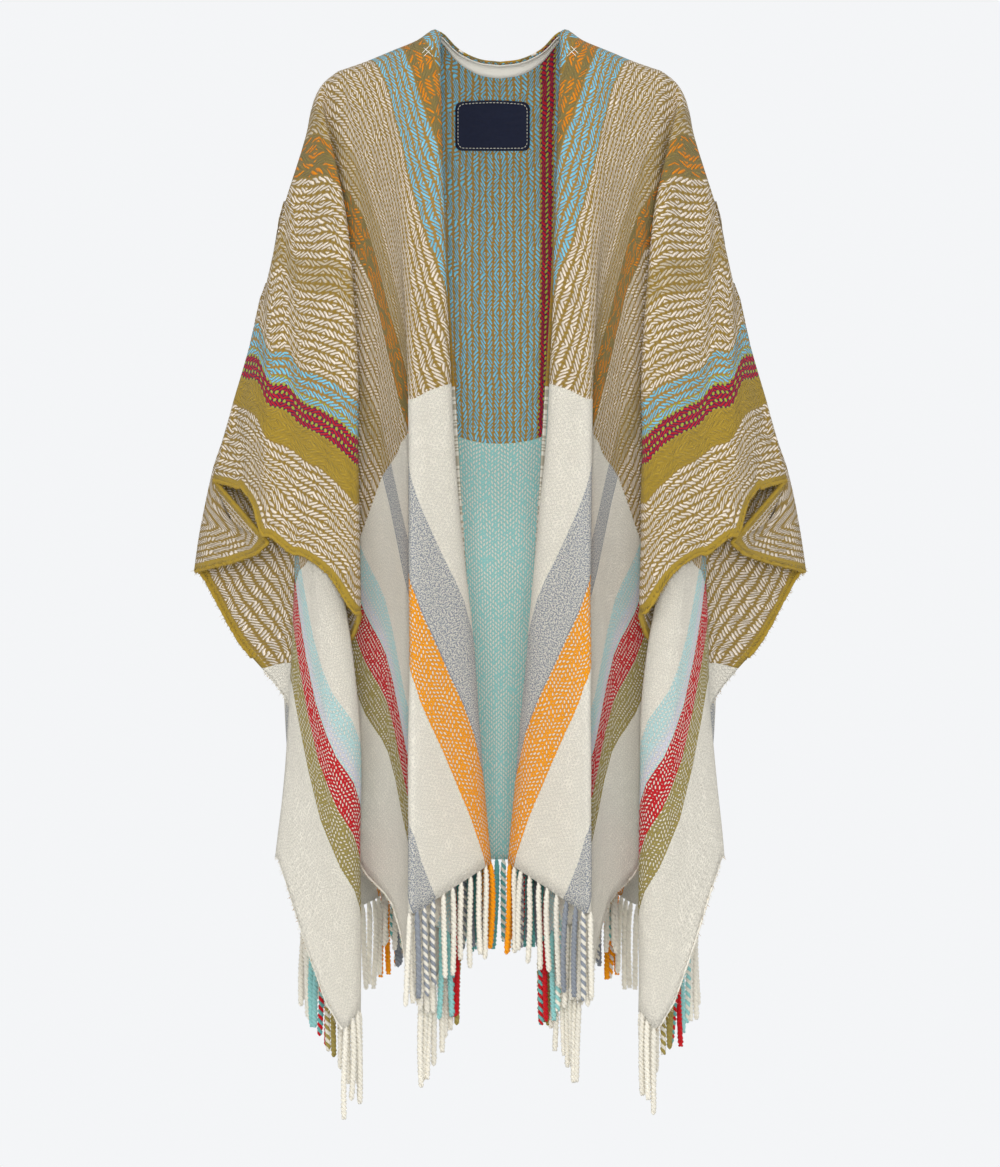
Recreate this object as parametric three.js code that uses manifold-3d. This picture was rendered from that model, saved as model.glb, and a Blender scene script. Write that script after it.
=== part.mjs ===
// An open-front blanket poncho in heavy striped wool, worn on no one. Millimetres, +Z up.
// One blanket is cut along the middle of its front and across the neck, then hung over the shoulders.
// The wearer's left is at +X, the front faces -Y, and the origin lies between the two neck points.
import * as THREE from "three";
import { mergeVertices } from "three/addons/utils/BufferGeometryUtils.js";
import Module from "manifold-3d";

// Driving dimensions of the flat blanket, and of the cloth
const HALF_WIDTH = 717;
const FRONT_LENGTH = 1000;
const BACK_LENGTH = 1000;
const NECK_HALF_WIDTH = 72;
const CLOTH_THICKNESS = 3;
const SEAM_GAP = 0.3;

// Fringe
const FRINGE_LENGTH = 112;
const STRAND_PITCH = 13;
const STRAND_RADIUS = 3.6;
const STRAND_SIDES = 3;
const STRAND_STATIONS = [
  { distance: 1, radius: 0.4, plumb: 0 },
  { distance: 26, radius: STRAND_RADIUS, plumb: 0.4 },
  { distance: FRINGE_LENGTH, radius: STRAND_RADIUS, plumb: 1 },
];
const STRIP_HEIGHT = 3;
const STRIP_THICKNESS = 1.6;
// The end of the cloth leans where the hem turns, so the strip starts further off than a flat seam's gap
const STRIP_GAP = 0.98;

// Neck tape and label
const TAPE_THICKNESS = 1.2;
const TAPE_WIDTH = 20;
const TAPE_INSET = 1.5;
const LABEL = { width: 90, height: 58, thickness: 1.2, middle: -9, top: -80, corner: 7, arch: 3 };
const LABEL_STEP = 15;

// How far the cloth goes level over a shoulder before it drops, as a share of its next step
const SHOULDER_ROUNDNESS = 1;

// Mesh density: rows are closer at the shoulder, and columns where the folds are tight
const ROWS = 10;
const ROW_CROWDING = 1.5;
const CROWDED_LENGTH = 300;
const STEPS_PER_GAP = 2;
const BEND_RADIUS = 4;
const FINE_STEPS = 60;

// The shoulder and arm line, where front and back meet: distance from the neck point along the cloth
const SHOULDER_LINE = [
  { along: 0, x: 75, z: -1 },
  { along: 18, x: 91, z: -8 },
  { along: 49, x: 120, z: -20 },
  { along: 86, x: 155, z: -35 },
  { along: 130, x: 195, z: -49 },
  { along: 155, x: 214, z: -65 },
  { along: 173, x: 222, z: -82 },
  { along: 233, x: 235, z: -140 },
  { along: 274, x: 250, z: -178 },
  { along: 460, x: 292, z: -360 },
  { along: 522, x: 312, z: -418 },
  { along: 645, x: 343, z: -538 },
];

// Folds of one front, from the slit outwards. Each row is a line down the cloth.
// u is its distance from the blanket's centre line at the top, half way and the end; top and end are its
// distances from the shoulder line; x and y are its places at equal steps of its length, and floor is the
// height of its end. start is where a fold begins that doesn't begin on the shoulder line, and a tight
// fold turns back on itself round a small bend.
const FRONT_FOLDS = [
  { name: "slit edge", u: [0, 0, 0], top: 70, end: 1000, start: [76, -32, -62],
    x: [76, 62, 49, 33, 20], y: [-32, -66, -84, -82, -66], floor: -990 },
  { name: "facing return", u: [18, 50, 82], top: 52, end: 1000, start: [84, -22, -48],
    x: [84, 93, 90, 76, 56], y: [-22, -50, -54, -41, -12], floor: -992 },
  { name: "facing fold", tight: true, u: [36, 100, 165], top: 35, end: 1000, start: [93, -18, -36],
    x: [93, 122, 136, 146, 140], y: [-18, -60, -50, -26, 18], floor: -996 },
  { name: "facing", u: [54, 150, 247], top: 18, end: 1000, start: [84, -13, -20],
    x: [84, 98, 96, 84, 62], y: [-13, -74, -78, -62, -32], floor: -994 },
  { name: "front edge fold", tight: true, u: [72, 198, 330], top: 0, end: 1000,
    x: [75, 68, 57, 34, 12], y: [0, -88, -104, -100, -96], floor: -994 },
  { name: "inner panel", u: [98, 225, 400], top: 0, end: 1000,
    x: [100, 90, 82, 70, 58], y: [0, -100, -127, -139, -140], floor: -1022 },
  { name: "inner panel fold", tight: true, u: [130, 250, 460], top: 0, end: 1000,
    x: [128, 112, 104, 103, 104], y: [0, -106, -136, -158, -170], floor: -1049 },
  { name: "hidden pleat", tight: true, u: [165, 325, 600], top: 0, end: 1000,
    x: [157, 124, 92, 72, 52], y: [0, -100, -102, -86, -60], floor: -1084 },
  { name: "front corner", u: [190, 400, 717], top: 0, end: 1000,
    x: [182, 138, 112, 104, 96], y: [0, -97, -100, -96, -112], floor: -1160 },
  { name: "middle panel", u: [200, 455, 717], top: 0, end: 870,
    x: [197, 156, 140, 134, 128], y: [0, -92, -92, -86, -90], floor: -1042 },
  { name: "middle panel side", u: [208, 490, 717], top: 0, end: 745,
    x: [205, 172, 168, 167, 167], y: [0, -84, -78, -70, -70], floor: -994 },
  { name: "armpit pleat", tight: true, u: [221, 480, 717], top: 0, end: 480,
    x: [213, 200, 199, 206, 205], y: [0, -54, -55, -48, -42], floor: -760 },
  { name: "armpit leg", u: [234, 480, 717], top: 0, end: 370,
    x: [217, 194, 183, 178, 176], y: [0, -67, -80, -88, -92], floor: -726 },
  { name: "sleeve fold", tight: true, u: [248, 480, 717], top: 0, end: 262,
    x: [220, 188, 174, 171, 169], y: [0, -79, -105, -119, -126], floor: -696 },
  { name: "sleeve inner", u: [290, 504, 717], top: 0, end: 193,
    x: [232, 222, 213, 207, 203], y: [0, -58, -90, -110, -124], floor: -649 },
  { name: "sleeve furrow", tight: true, u: [370, 544, 717], top: 0, end: 148,
    x: [255, 250, 245, 242, 241], y: [0, -46, -70, -88, -100], floor: -626 },
  { name: "sleeve front", tight: true, u: [470, 594, 717], top: 0, end: 105,
    x: [278, 280, 280, 280, 278], y: [0, -40, -60, -72, -80], floor: -604 },
  { name: "sleeve outer", u: [570, 644, 717], top: 0, end: 61,
    x: [304, 304, 301, 298, 294], y: [0, -24, -42, -54, -62], floor: -565 },
  { name: "sleeve edge", u: [620, 669, 717], top: 0, end: 45,
    x: [318, 314, 310, 306, 303], y: [0, -16, -30, -40, -48], floor: -553 },
  { name: "cuff front", tight: true, u: [655, 686, 717], top: 0, end: 34,
    x: [327, 323, 319, 315, 311], y: [0, -12, -22, -30, -38], floor: -546 },
  { name: "cuff outer", u: [690, 704, 717], top: 0, end: 24,
    x: [336, 332, 328, 324, 320], y: [0, -8, -15, -21, -27], floor: -544 },
  { name: "cuff tip", u: [717, 717, 717], top: 0, end: 0, x: [343, 343], y: [0, 0], floor: -538 },
];

// Folds of one half of the back, from the centre outwards, in the same columns
const BACK_FOLDS = [
  { name: "back centre", u: [0, 0, 0], top: -5, end: 1000, start: [0, 38, -34],
    x: [0, 0, 0, 0, 0], y: [38, 92, 104, 104, 100], floor: -997 },
  { name: "back neck inner", u: [24, 26, 45], top: -4, end: 1000, start: [25, 34, -31],
    x: [25, 25, 26, 27, 28], y: [34, 92, 105, 110, 124], floor: -998 },
  { name: "back neck outer", u: [48, 54, 96], top: -2, end: 1000, start: [50, 21, -20],
    x: [50, 50, 50, 50, 48], y: [21, 90, 106, 120, 158], floor: -1000 },
  { name: "back under neck point", tight: true, u: [72, 90, 150], top: 0, end: 1000,
    x: [75, 76, 78, 76, 74], y: [0, 86, 106, 122, 152], floor: -1003 },
  { name: "first back valley", u: [98, 128, 200], top: 0, end: 1000,
    x: [100, 104, 107, 101, 93], y: [0, 86, 105, 114, 115], floor: -1010 },
  { name: "second back rise", tight: true, u: [130, 172, 255], top: 0, end: 1000,
    x: [128, 134, 140, 130, 112], y: [0, 85, 104, 114, 126], floor: -1024 },
  { name: "second back flute", tight: true, u: [165, 215, 315], top: 0, end: 1000,
    x: [157, 166, 175, 162, 136], y: [0, 82, 100, 120, 165], floor: -1040 },
  { name: "flute side", u: [190, 252, 375], top: 0, end: 1000,
    x: [182, 192, 208, 192, 162], y: [0, 76, 90, 108, 142], floor: -1052 },
  { name: "back side", u: [200, 290, 440], top: 0, end: 1000,
    x: [197, 216, 240, 226, 206], y: [0, 66, 62, 74, 92], floor: -1064 },
  { name: "side fold", u: [208, 325, 495], top: 0, end: 1000,
    x: [205, 232, 266, 258, 238], y: [0, 54, 16, 26, 40], floor: -1070 },
  { name: "forward leg", tight: true, u: [221, 352, 590], top: 0, end: 1000,
    x: [213, 242, 249, 232, 206], y: [0, 34, -30, -44, -50], floor: -1112 },
  { name: "wrapped leg", u: [234, 386, 633], top: 0, end: 1000,
    x: [217, 238, 244, 222, 203, 188, 186], y: [0, 26, -26, -68, -79, -82, -86], floor: -1140 },
  { name: "wrapped fold", tight: true, u: [248, 420, 676], top: 0, end: 1000,
    x: [220, 235, 237, 202, 172, 167, 167], y: [0, 15, -36, -96, -106, -114, -120], floor: -1168 },
  { name: "back corner", u: [290, 480, 717], top: 0, end: 1000,
    x: [232, 252, 254, 221, 206, 196, 186], y: [0, -2, -54, -104, -122, -130, -132], floor: -1188 },
  { name: "wrapped panel side", tight: true, u: [370, 540, 717], top: 0, end: 778,
    x: [255, 269, 266, 243, 244, 250, 263], y: [0, 3, -44, -81, -100, -113, -112], floor: -985 },
  { name: "hidden side pleat", tight: true, u: [470, 594, 717], top: 0, end: 660,
    x: [278, 282, 268, 231, 223, 222, 220], y: [0, 8, -32, -76, -82, -84, -84], floor: -900 },
  { name: "sleeve back inner", u: [570, 644, 717], top: 0, end: 540,
    x: [304, 293, 273, 261, 253], y: [0, 6, -27, -43, -46], floor: -802 },
  { name: "sleeve back", u: [620, 669, 717], top: 0, end: 430,
    x: [318, 322, 321, 317, 312], y: [0, 18, 18, 12, 4], floor: -732 },
  { name: "back sleeve ridge", tight: true, u: [655, 686, 717], top: 0, end: 240,
    x: [327, 340, 350, 358, 364], y: [0, 22, 32, 36, 36], floor: -647 },
  { name: "back sleeve valley", u: [690, 704, 717], top: 0, end: 110,
    x: [336, 333, 318, 298, 276], y: [0, 8, -6, -36, -68], floor: -613 },
  { name: "cuff tip back", u: [717, 717, 717], top: 0, end: 0, x: [343, 343], y: [0, 0], floor: -538 },
];
const placeOf = (folds, name) => folds.findIndex((fold) => fold.name === name);
const EDGE_FOLD = placeOf(FRONT_FOLDS, "front edge fold");
const NECK_POINT = placeOf(BACK_FOLDS, "back under neck point");

// Colours of the yarns
const COLOURS = { cloth: 0xc9bb94, tape: 0xece7dc, label: 0x1b2138, fringe: 0xe6dfcd };

const mix = (a, b, t) => a + (b - a) * t;

// A smooth curve through evenly spaced values
function through(values, t) {
  const last = values.length - 1;
  const place = Math.min(Math.max(t, 0), 1) * last;
  const i = Math.min(Math.floor(place), last - 1);
  const f = place - i;
  const at = (n) => {
    if (n < 0) return 2 * values[0] - values[1];
    if (n > last) return 2 * values[last] - values[last - 1];
    return values[n];
  };
  const [a, b, c, d] = [at(i - 1), at(i), at(i + 1), at(i + 2)];
  return b + 0.5 * f * (c - a + f * (2 * a - 5 * b + 4 * c - d + f * (3 * (b - c) + d - a)));
}

const vectorOf = (p) => new THREE.Vector3(p.x, p.y, p.z);

function shoulderPoint(along) {
  const n = SHOULDER_LINE.findIndex((row) => row.along >= along);
  const b = SHOULDER_LINE[Math.max(n, 1)];
  const a = SHOULDER_LINE[Math.max(n, 1) - 1];
  const t = (along - a.along) / (b.along - a.along);
  return [mix(a.x, b.x, t), 0, mix(a.z, b.z, t)];
}

// A fold line as points with their place on the flat cloth. The height follows from the length of cloth.
function foldLine(fold) {
  const start = fold.start ?? shoulderPoint(fold.u[0] - NECK_HALF_WIDTH);
  const offset = [start[0] - fold.x[0], start[1] - fold.y[0]];
  const points = [];
  for (let i = 0; i <= FINE_STEPS; i++) {
    const t = i / FINE_STEPS;
    const fade = (1 - t) ** 4;
    const near = Math.min(t * (fold.y.length - 1), 1);
    const level = SHOULDER_ROUNDNESS * Math.sqrt(near) * (1 - near) ** 2;
    points.push({
      x: through(fold.x, t) + offset[0] * fade,
      y: through(fold.y, t) + offset[1] * fade + level * (fold.y[1] - fold.y[0]),
      u: through(fold.u, t),
      v: mix(fold.top, fold.end, t),
      drop: 0,
    });
  }
  for (let i = 1; i <= FINE_STEPS; i++) {
    const [a, b] = [points[i - 1], points[i]];
    const cloth = Math.hypot(b.u - a.u, b.v - a.v);
    const across = Math.hypot(b.x - a.x, b.y - a.y);
    b.drop = a.drop + Math.sqrt(Math.max(cloth ** 2 - across ** 2, (0.25 * cloth) ** 2));
  }
  const total = points[FINE_STEPS].drop || 1;
  for (const point of points) point.z = mix(start[2], fold.floor, point.drop / total);
  return points;
}

// Rows are evenly spaced on a short line and crowd towards the shoulder on a long one
function lineAt(points, t) {
  const length = points.at(-1).v - points[0].v;
  const place = t ** mix(1, ROW_CROWDING, Math.min(length / CROWDED_LENGTH, 1)) * FINE_STEPS;
  const i = Math.min(Math.floor(place), FINE_STEPS - 1);
  const blend = {};
  for (const key of ["x", "y", "z", "u", "v"]) blend[key] = mix(points[i][key], points[i + 1][key], place - i);
  blend.heading = vectorOf(points[i + 1]).sub(vectorOf(points[i])).normalize();
  return blend;
}

// A tight fold becomes two points, one on each side of its bend
function bends(knots, folds) {
  return knots.flatMap((b, i) => {
    const [a, c] = [knots[i - 1], knots[i + 1]];
    if (!folds[i].tight || !a || !c) return [{ ...b, steps: i === knots.length - 2 ? 1 : STEPS_PER_GAP }];
    const [toA, toC] = [a, c].map((p) => vectorOf(p).sub(vectorOf(b)).projectOnPlane(b.heading));
    const [reachA, reachC] = [toA.length(), toC.length()];
    const out = toC.normalize().sub(toA.normalize()).normalize();
    const radius = Math.min(BEND_RADIUS, reachA / 4, reachC / 4);
    const beside = (towards, reach, sign, steps) => ({
      x: b.x + sign * radius * out.x,
      y: b.y + sign * radius * out.y,
      z: b.z + sign * radius * out.z,
      u: mix(b.u, towards.u, radius / reach),
      v: mix(b.v, towards.v, radius / reach),
      steps,
    });
    return [beside(a, reachA, -1, 1), beside(c, reachC, 1, STEPS_PER_GAP)];
  });
}

// Points across the folds at one level, smoothed through the fold lines by their distance
function acrossFolds(lines, folds, t) {
  const knots = bends(lines.map((points) => lineAt(points, t)), folds);
  const gap = (a, b) => Math.sqrt(Math.max(Math.hypot(b.x - a.x, b.y - a.y, b.z - a.z), 1e-3));
  const row = [];
  for (let i = 0; i < knots.length - 1; i++) {
    const b = knots[i];
    const c = knots[i + 1];
    const a = knots[i - 1] ?? reflect(b, c);
    const d = knots[i + 2] ?? reflect(c, b);
    const t1 = gap(a, b);
    const t2 = t1 + gap(b, c);
    const t3 = t2 + gap(c, d);
    for (let s = 0; s < b.steps; s++) {
      const f = s / b.steps;
      row.push(centripetal([a, b, c, d], [0, t1, t2, t3], mix(t1, t2, f), f));
    }
  }
  row.push(knots.at(-1));
  return row;
}

function reflect(end, next) {
  const out = {};
  for (const key of ["x", "y", "z"]) out[key] = 2 * end[key] - next[key];
  return out;
}

function centripetal(p, t, at, f) {
  const out = {};
  for (const key of ["x", "y", "z"]) {
    const blend = (a, b, ta, tb) => (a * (tb - at) + b * (at - ta)) / (tb - ta);
    const a1 = blend(p[0][key], p[1][key], t[0], t[1]);
    const a2 = blend(p[1][key], p[2][key], t[1], t[2]);
    const a3 = blend(p[2][key], p[3][key], t[2], t[3]);
    out[key] = blend(blend(a1, a2, t[0], t[2]), blend(a2, a3, t[1], t[3]), t[1], t[2]);
  }
  for (const key of ["u", "v"]) out[key] = mix(p[1][key], p[2][key], f);
  return out;
}

// Rows of points from the shoulder line to the hem for one half of the front or the back
function sheetRows(folds) {
  const lines = folds.map(foldLine);
  return Array.from({ length: ROWS + 1 }, (_, i) => acrossFolds(lines, folds, i / ROWS));
}

const frontRows = sheetRows(FRONT_FOLDS);
const backRows = sheetRows(BACK_FOLDS);
// Both sheets share the columns outside the neck point, and meet on the shoulder line
const columnOf = (folds, place) => {
  const bendsBefore = folds.slice(1, place).filter((fold) => fold.tight).length;
  return place * STEPS_PER_GAP + bendsBefore;
};
const frontJoin = columnOf(FRONT_FOLDS, EDGE_FOLD) + 1;
const backJoin = columnOf(BACK_FOLDS, NECK_POINT) + 1;
for (let i = frontJoin; i < frontRows[0].length; i++) {
  backRows[0][i - frontJoin + backJoin] = frontRows[0][i];
}

// A middle surface grows by quads of points; points at one place are shared
class Surface {
  constructor() {
    this.points = [];
    this.faces = [];
    this.found = new Map();
  }

  index(point) {
    const key = [point.x, point.y, point.z].map((value) => Math.round(value * 1000)).join(",");
    if (!this.found.has(key)) {
      this.found.set(key, this.points.length);
      this.points.push(new THREE.Vector3(point.x, point.y, point.z));
    }
    return this.found.get(key);
  }

  quad(a, b, c, d) {
    const [ia, ib, ic, id] = [a, b, c, d].map((point) => this.index(point));
    for (const face of [[ia, ib, ic], [ia, ic, id]]) {
      if (new Set(face).size === 3) this.faces.push(face);
    }
  }

  grid(rows, side, flip) {
    const placed = rows.map((row) => row.map((p) => ({ x: p.x * side, y: p.y, z: p.z })));
    for (let j = 0; j < placed.length - 1; j++) {
      for (let i = 0; i < placed[j].length - 1; i++) {
        const corners = [placed[j][i], placed[j][i + 1], placed[j + 1][i + 1], placed[j + 1][i]];
        if (side * flip < 0) corners.reverse();
        this.quad(...corners);
      }
    }
  }

  normals() {
    const normals = this.points.map(() => new THREE.Vector3());
    for (const face of this.faces) {
      const [a, b, c] = face.map((i) => this.points[i]);
      const normal = b.clone().sub(a).cross(c.clone().sub(a));
      for (const i of face) normals[i].add(normal);
    }
    return normals.map((normal) => normal.normalize());
  }

  // The closed wall of a given thickness, with its edges turned square
  wall(thickness, offset = 0) {
    const normals = this.normals();
    const count = this.points.length;
    const positions = [];
    for (const distance of [offset + thickness / 2, offset - thickness / 2]) {
      this.points.forEach((p, i) => positions.push(...p.clone().addScaledVector(normals[i], distance).toArray()));
    }
    const triangles = [];
    const edges = new Set();
    for (const [a, b, c] of this.faces) {
      triangles.push(a, b, c, a + count, c + count, b + count);
      for (const [m, n] of [[a, b], [b, c], [c, a]]) edges.add(`${m},${n}`);
    }
    for (const edge of edges) {
      const [m, n] = edge.split(",").map(Number);
      if (!edges.has(`${n},${m}`)) triangles.push(n, m, m + count, n, m + count, n + count);
    }
    const geometry = new THREE.BufferGeometry();
    geometry.setAttribute("position", new THREE.Float32BufferAttribute(positions, 3));
    geometry.setIndex(triangles);
    return geometry;
  }
}

function blanketSurface() {
  const surface = new Surface();
  for (const side of [-1, 1]) {
    surface.grid(frontRows, side, 1);
    surface.grid(backRows, side, -1);
  }
  return surface;
}

const wasm = await Module();
wasm.setup();

function solidOf(geometry) {
  const bare = new THREE.BufferGeometry();
  bare.setAttribute("position", geometry.getAttribute("position"));
  if (geometry.index) bare.setIndex(geometry.index);
  const merged = mergeVertices(bare, 1e-4);
  return new wasm.Manifold(new wasm.Mesh({
    numProp: 3,
    vertProperties: Float32Array.from(merged.getAttribute("position").array),
    triVerts: Uint32Array.from(merged.index.array),
  }));
}

function geometryOf(solid) {
  const mesh = solid.getMesh();
  const geometry = new THREE.BufferGeometry();
  geometry.setAttribute("position", new THREE.Float32BufferAttribute(Array.from(mesh.vertProperties), 3));
  geometry.setIndex(Array.from(mesh.triVerts));
  return geometry;
}

// The hem of one side from the wearer's right to the left, as points with the direction in which the
// cloth runs down into it
function hemOf(rows, side) {
  const last = rows.length - 1;
  const points = [];
  rows[last].forEach((p, i) => {
    if (p.v < FRONT_LENGTH - 0.5) return;
    const before = rows[last - 1][i];
    const down = new THREE.Vector3((p.x - before.x) * side, p.y - before.y, p.z - before.z).normalize();
    points.push({ at: new THREE.Vector3(p.x * side, p.y, p.z), down, u: p.u * side });
  });
  return side < 0 ? points.reverse() : points;
}

function hemAt(hem, u) {
  const i = Math.min(Math.max(hem.findIndex((p) => p.u >= u), 1), hem.length - 1);
  const [a, b] = [hem[i - 1], hem[i]];
  const t = (u - a.u) / (b.u - a.u);
  return { at: a.at.clone().lerp(b.at, t), down: a.down.clone().lerp(b.down, t).normalize() };
}

// One strand: a thin prism that leaves along the cloth and turns straight down
function strandGeometry(root, down) {
  const surface = new THREE.BufferGeometry();
  const positions = [];
  const triangles = [];
  const centre = root.clone();
  let before = 0;
  for (const { distance, radius, plumb } of STRAND_STATIONS) {
    const heading = down.clone().lerp(new THREE.Vector3(0, 0, -1), plumb).normalize();
    centre.addScaledVector(heading, distance - before);
    before = distance;
    const across = new THREE.Vector3(0, 1, 0).cross(heading).normalize();
    const outwards = heading.clone().cross(across);
    for (let k = 0; k < STRAND_SIDES; k++) {
      const angle = (2 * Math.PI * k) / STRAND_SIDES;
      const corner = centre.clone().addScaledVector(across, radius * Math.cos(angle));
      positions.push(...corner.addScaledVector(outwards, radius * Math.sin(angle)).toArray());
    }
  }
  for (let n = 0; n < STRAND_STATIONS.length - 1; n++) {
    for (let k = 0; k < STRAND_SIDES; k++) {
      const [a, b] = [n * STRAND_SIDES + k, n * STRAND_SIDES + ((k + 1) % STRAND_SIDES)];
      triangles.push(a, b, a + STRAND_SIDES, b, b + STRAND_SIDES, a + STRAND_SIDES);
    }
  }
  const end = (STRAND_STATIONS.length - 1) * STRAND_SIDES;
  triangles.push(0, 2, 1, end, end + 1, end + 2);
  surface.setAttribute("position", new THREE.Float32BufferAttribute(positions, 3));
  surface.setIndex(triangles);
  return surface;
}

// The narrow strip under a hem that carries the strands
function stripGeometry(hem) {
  const surface = new Surface();
  const row = (distance) => hem.map((p) => p.at.clone().addScaledVector(p.down, distance));
  surface.grid([row(STRIP_GAP), row(STRIP_GAP + STRIP_HEIGHT)], 1, 1);
  return surface.wall(STRIP_THICKNESS);
}

function fringeGeometry(hem) {
  const parts = [solidOf(stripGeometry(hem))];
  const [uMin, uMax] = [hem[0].u, hem.at(-1).u];
  const count = Math.round((uMax - uMin) / STRAND_PITCH);
  for (let n = 0; n < count; n++) {
    const u = mix(uMin, uMax, (n + 0.5) / count);
    const { at, down } = hemAt(hem, u);
    const root = at.addScaledVector(down, STRIP_GAP);
    parts.push(solidOf(strandGeometry(root, down)));
  }
  return geometryOf(wasm.Manifold.union(parts));
}

// How far back the cloth of the back lies, behind a place near its centre
function backDepth(x, z) {
  const corner = (p) => new THREE.Vector2(p.x, p.z);
  const at = new THREE.Vector2(Math.abs(x), z);
  for (let j = 0; j < backRows.length - 1; j++) {
    for (let i = 0; i < backJoin; i++) {
      const [a, b] = [backRows[j][i], backRows[j][i + 1]];
      const [d, c] = [backRows[j + 1][i], backRows[j + 1][i + 1]];
      for (const corners of [[d, c, b], [d, b, a]]) {
        const [p, q, r] = corners.map(corner);
        const area = q.clone().sub(p).cross(r.clone().sub(p));
        const wq = at.clone().sub(p).cross(r.clone().sub(p)) / area;
        const wr = q.clone().sub(p).cross(at.clone().sub(p)) / area;
        if (wq >= -1e-6 && wr >= -1e-6 && wq + wr <= 1 + 1e-6) {
          return corners[0].y * (1 - wq - wr) + corners[1].y * wq + corners[2].y * wr;
        }
      }
    }
  }
  throw new Error(`the back has no cloth behind ${x}, ${z}`);
}

// The label lies on the inside of the back: a wall over its place, cut to its outline
function labelGeometry() {
  const { width, height, thickness, middle, top, corner, arch } = LABEL;
  const across = Math.ceil(width / LABEL_STEP) + 1;
  const downwards = Math.ceil(height / LABEL_STEP) + 2;
  const rows = Array.from({ length: downwards + 1 }, (_, j) => {
    const z = top + arch + LABEL_STEP - j * LABEL_STEP;
    return Array.from({ length: across + 1 }, (_, i) => {
      const x = middle + (i - across / 2) * LABEL_STEP;
      return { x, y: backDepth(x, z), z };
    });
  });
  const surface = new Surface();
  surface.grid(rows, 1, -1);
  const wall = solidOf(surface.wall(thickness, (CLOTH_THICKNESS + thickness) / 2 + 2 * SEAM_GAP));

  const [left, right, bottom] = [middle - width / 2, middle + width / 2, top - height];
  const outline = new THREE.Shape();
  outline.moveTo(left + corner, bottom);
  outline.lineTo(right - corner, bottom);
  outline.absarc(right - corner, bottom + corner, corner, -Math.PI / 2, 0, false);
  outline.lineTo(right, top - corner);
  outline.absarc(right - corner, top - corner, corner, 0, Math.PI / 2, false);
  outline.quadraticCurveTo(middle, top + arch * 2, left + corner, top);
  outline.absarc(left + corner, top - corner, corner, Math.PI / 2, Math.PI, false);
  outline.lineTo(left, bottom + corner);
  outline.absarc(left + corner, bottom + corner, corner, Math.PI, 1.5 * Math.PI, false);
  const prism = new THREE.ExtrudeGeometry(outline, { depth: 200, bevelEnabled: false, curveSegments: 3 });
  prism.rotateX(Math.PI / 2);
  prism.translate(0, 200, 0);
  return geometryOf(wall.intersect(solidOf(prism)));
}

// The tape that faces the back of the neck on the inside
function neckTapeGeometry() {
  const surface = new Surface();
  const inside = (CLOTH_THICKNESS + TAPE_THICKNESS) / 2 + 2 * SEAM_GAP;
  const columns = backRows[0].slice(0, backJoin - 1);
  const half = columns.map((top, i) => {
    const next = backRows[1][i];
    const down = new THREE.Vector3(next.x - top.x, next.y - top.y, next.z - top.z).normalize();
    const start = new THREE.Vector3(top.x, top.y, top.z);
    return [TAPE_INSET, TAPE_INSET + TAPE_WIDTH].map((reach) => start.clone().addScaledVector(down, reach));
  });
  for (const side of [-1, 1]) {
    const rows = [0, 1].map((n) => half.map((pair) => pair[n]));
    surface.grid(rows, side, -1);
  }
  return surface.wall(TAPE_THICKNESS, inside);
}

const material = (name, color, roughness) => {
  const made = new THREE.MeshStandardMaterial({ color, roughness, metalness: 0 });
  made.name = name;
  return made;
};

function named(name, geometry, made) {
  geometry.computeVertexNormals();
  const mesh = new THREE.Mesh(geometry, made);
  mesh.name = name;
  return mesh;
}

const [wool, cotton, satin, yarn] = [
  material("wool", COLOURS.cloth, 0.95),
  material("cotton", COLOURS.tape, 0.9),
  material("satin", COLOURS.label, 0.7),
  material("yarn", COLOURS.fringe, 0.95),
];
const backHem = [...hemOf(backRows, -1), ...hemOf(backRows, 1).slice(1)];

const poncho = new THREE.Group();
poncho.add(
  named("blanket", blanketSurface().wall(CLOTH_THICKNESS), wool),
  named("neck_tape", neckTapeGeometry(), cotton),
  named("label", labelGeometry(), satin),
  named("fringe_front_right", fringeGeometry(hemOf(frontRows, -1)), yarn),
  named("fringe_front_left", fringeGeometry(hemOf(frontRows, 1)), yarn),
  named("fringe_back", fringeGeometry(backHem), yarn),
);

export default poncho;
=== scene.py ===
"""A striped wool blanket poncho with a fringe, in its worn shape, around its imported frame."""
import math
import random

import bpy
import numpy as np
from bpy.props import FloatProperty, FloatVectorProperty, PointerProperty
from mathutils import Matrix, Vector


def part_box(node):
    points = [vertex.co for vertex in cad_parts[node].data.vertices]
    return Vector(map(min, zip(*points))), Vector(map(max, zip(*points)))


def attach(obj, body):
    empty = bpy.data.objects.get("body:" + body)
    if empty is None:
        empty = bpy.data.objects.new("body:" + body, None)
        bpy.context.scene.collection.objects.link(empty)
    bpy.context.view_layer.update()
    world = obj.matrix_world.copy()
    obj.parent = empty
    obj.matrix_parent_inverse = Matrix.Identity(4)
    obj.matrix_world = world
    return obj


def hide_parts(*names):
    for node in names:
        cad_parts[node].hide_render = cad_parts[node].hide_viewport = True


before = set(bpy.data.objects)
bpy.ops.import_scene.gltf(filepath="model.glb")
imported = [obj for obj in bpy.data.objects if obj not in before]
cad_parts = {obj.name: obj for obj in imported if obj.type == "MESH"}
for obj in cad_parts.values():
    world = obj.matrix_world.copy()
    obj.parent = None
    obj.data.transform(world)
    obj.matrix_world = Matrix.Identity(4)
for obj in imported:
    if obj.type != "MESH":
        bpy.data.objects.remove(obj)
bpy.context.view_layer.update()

bl_info = {
    "name": "Blanket Poncho",
    "version": (1, 0, 0),
    "blender": (4, 5, 0),
    "location": "View3D > Sidebar > Poncho",
    "description": "Builds a striped blanket poncho with its tape, label patch, fringe and stage",
    "category": "Add Mesh",
}

MM = 0.001

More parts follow.
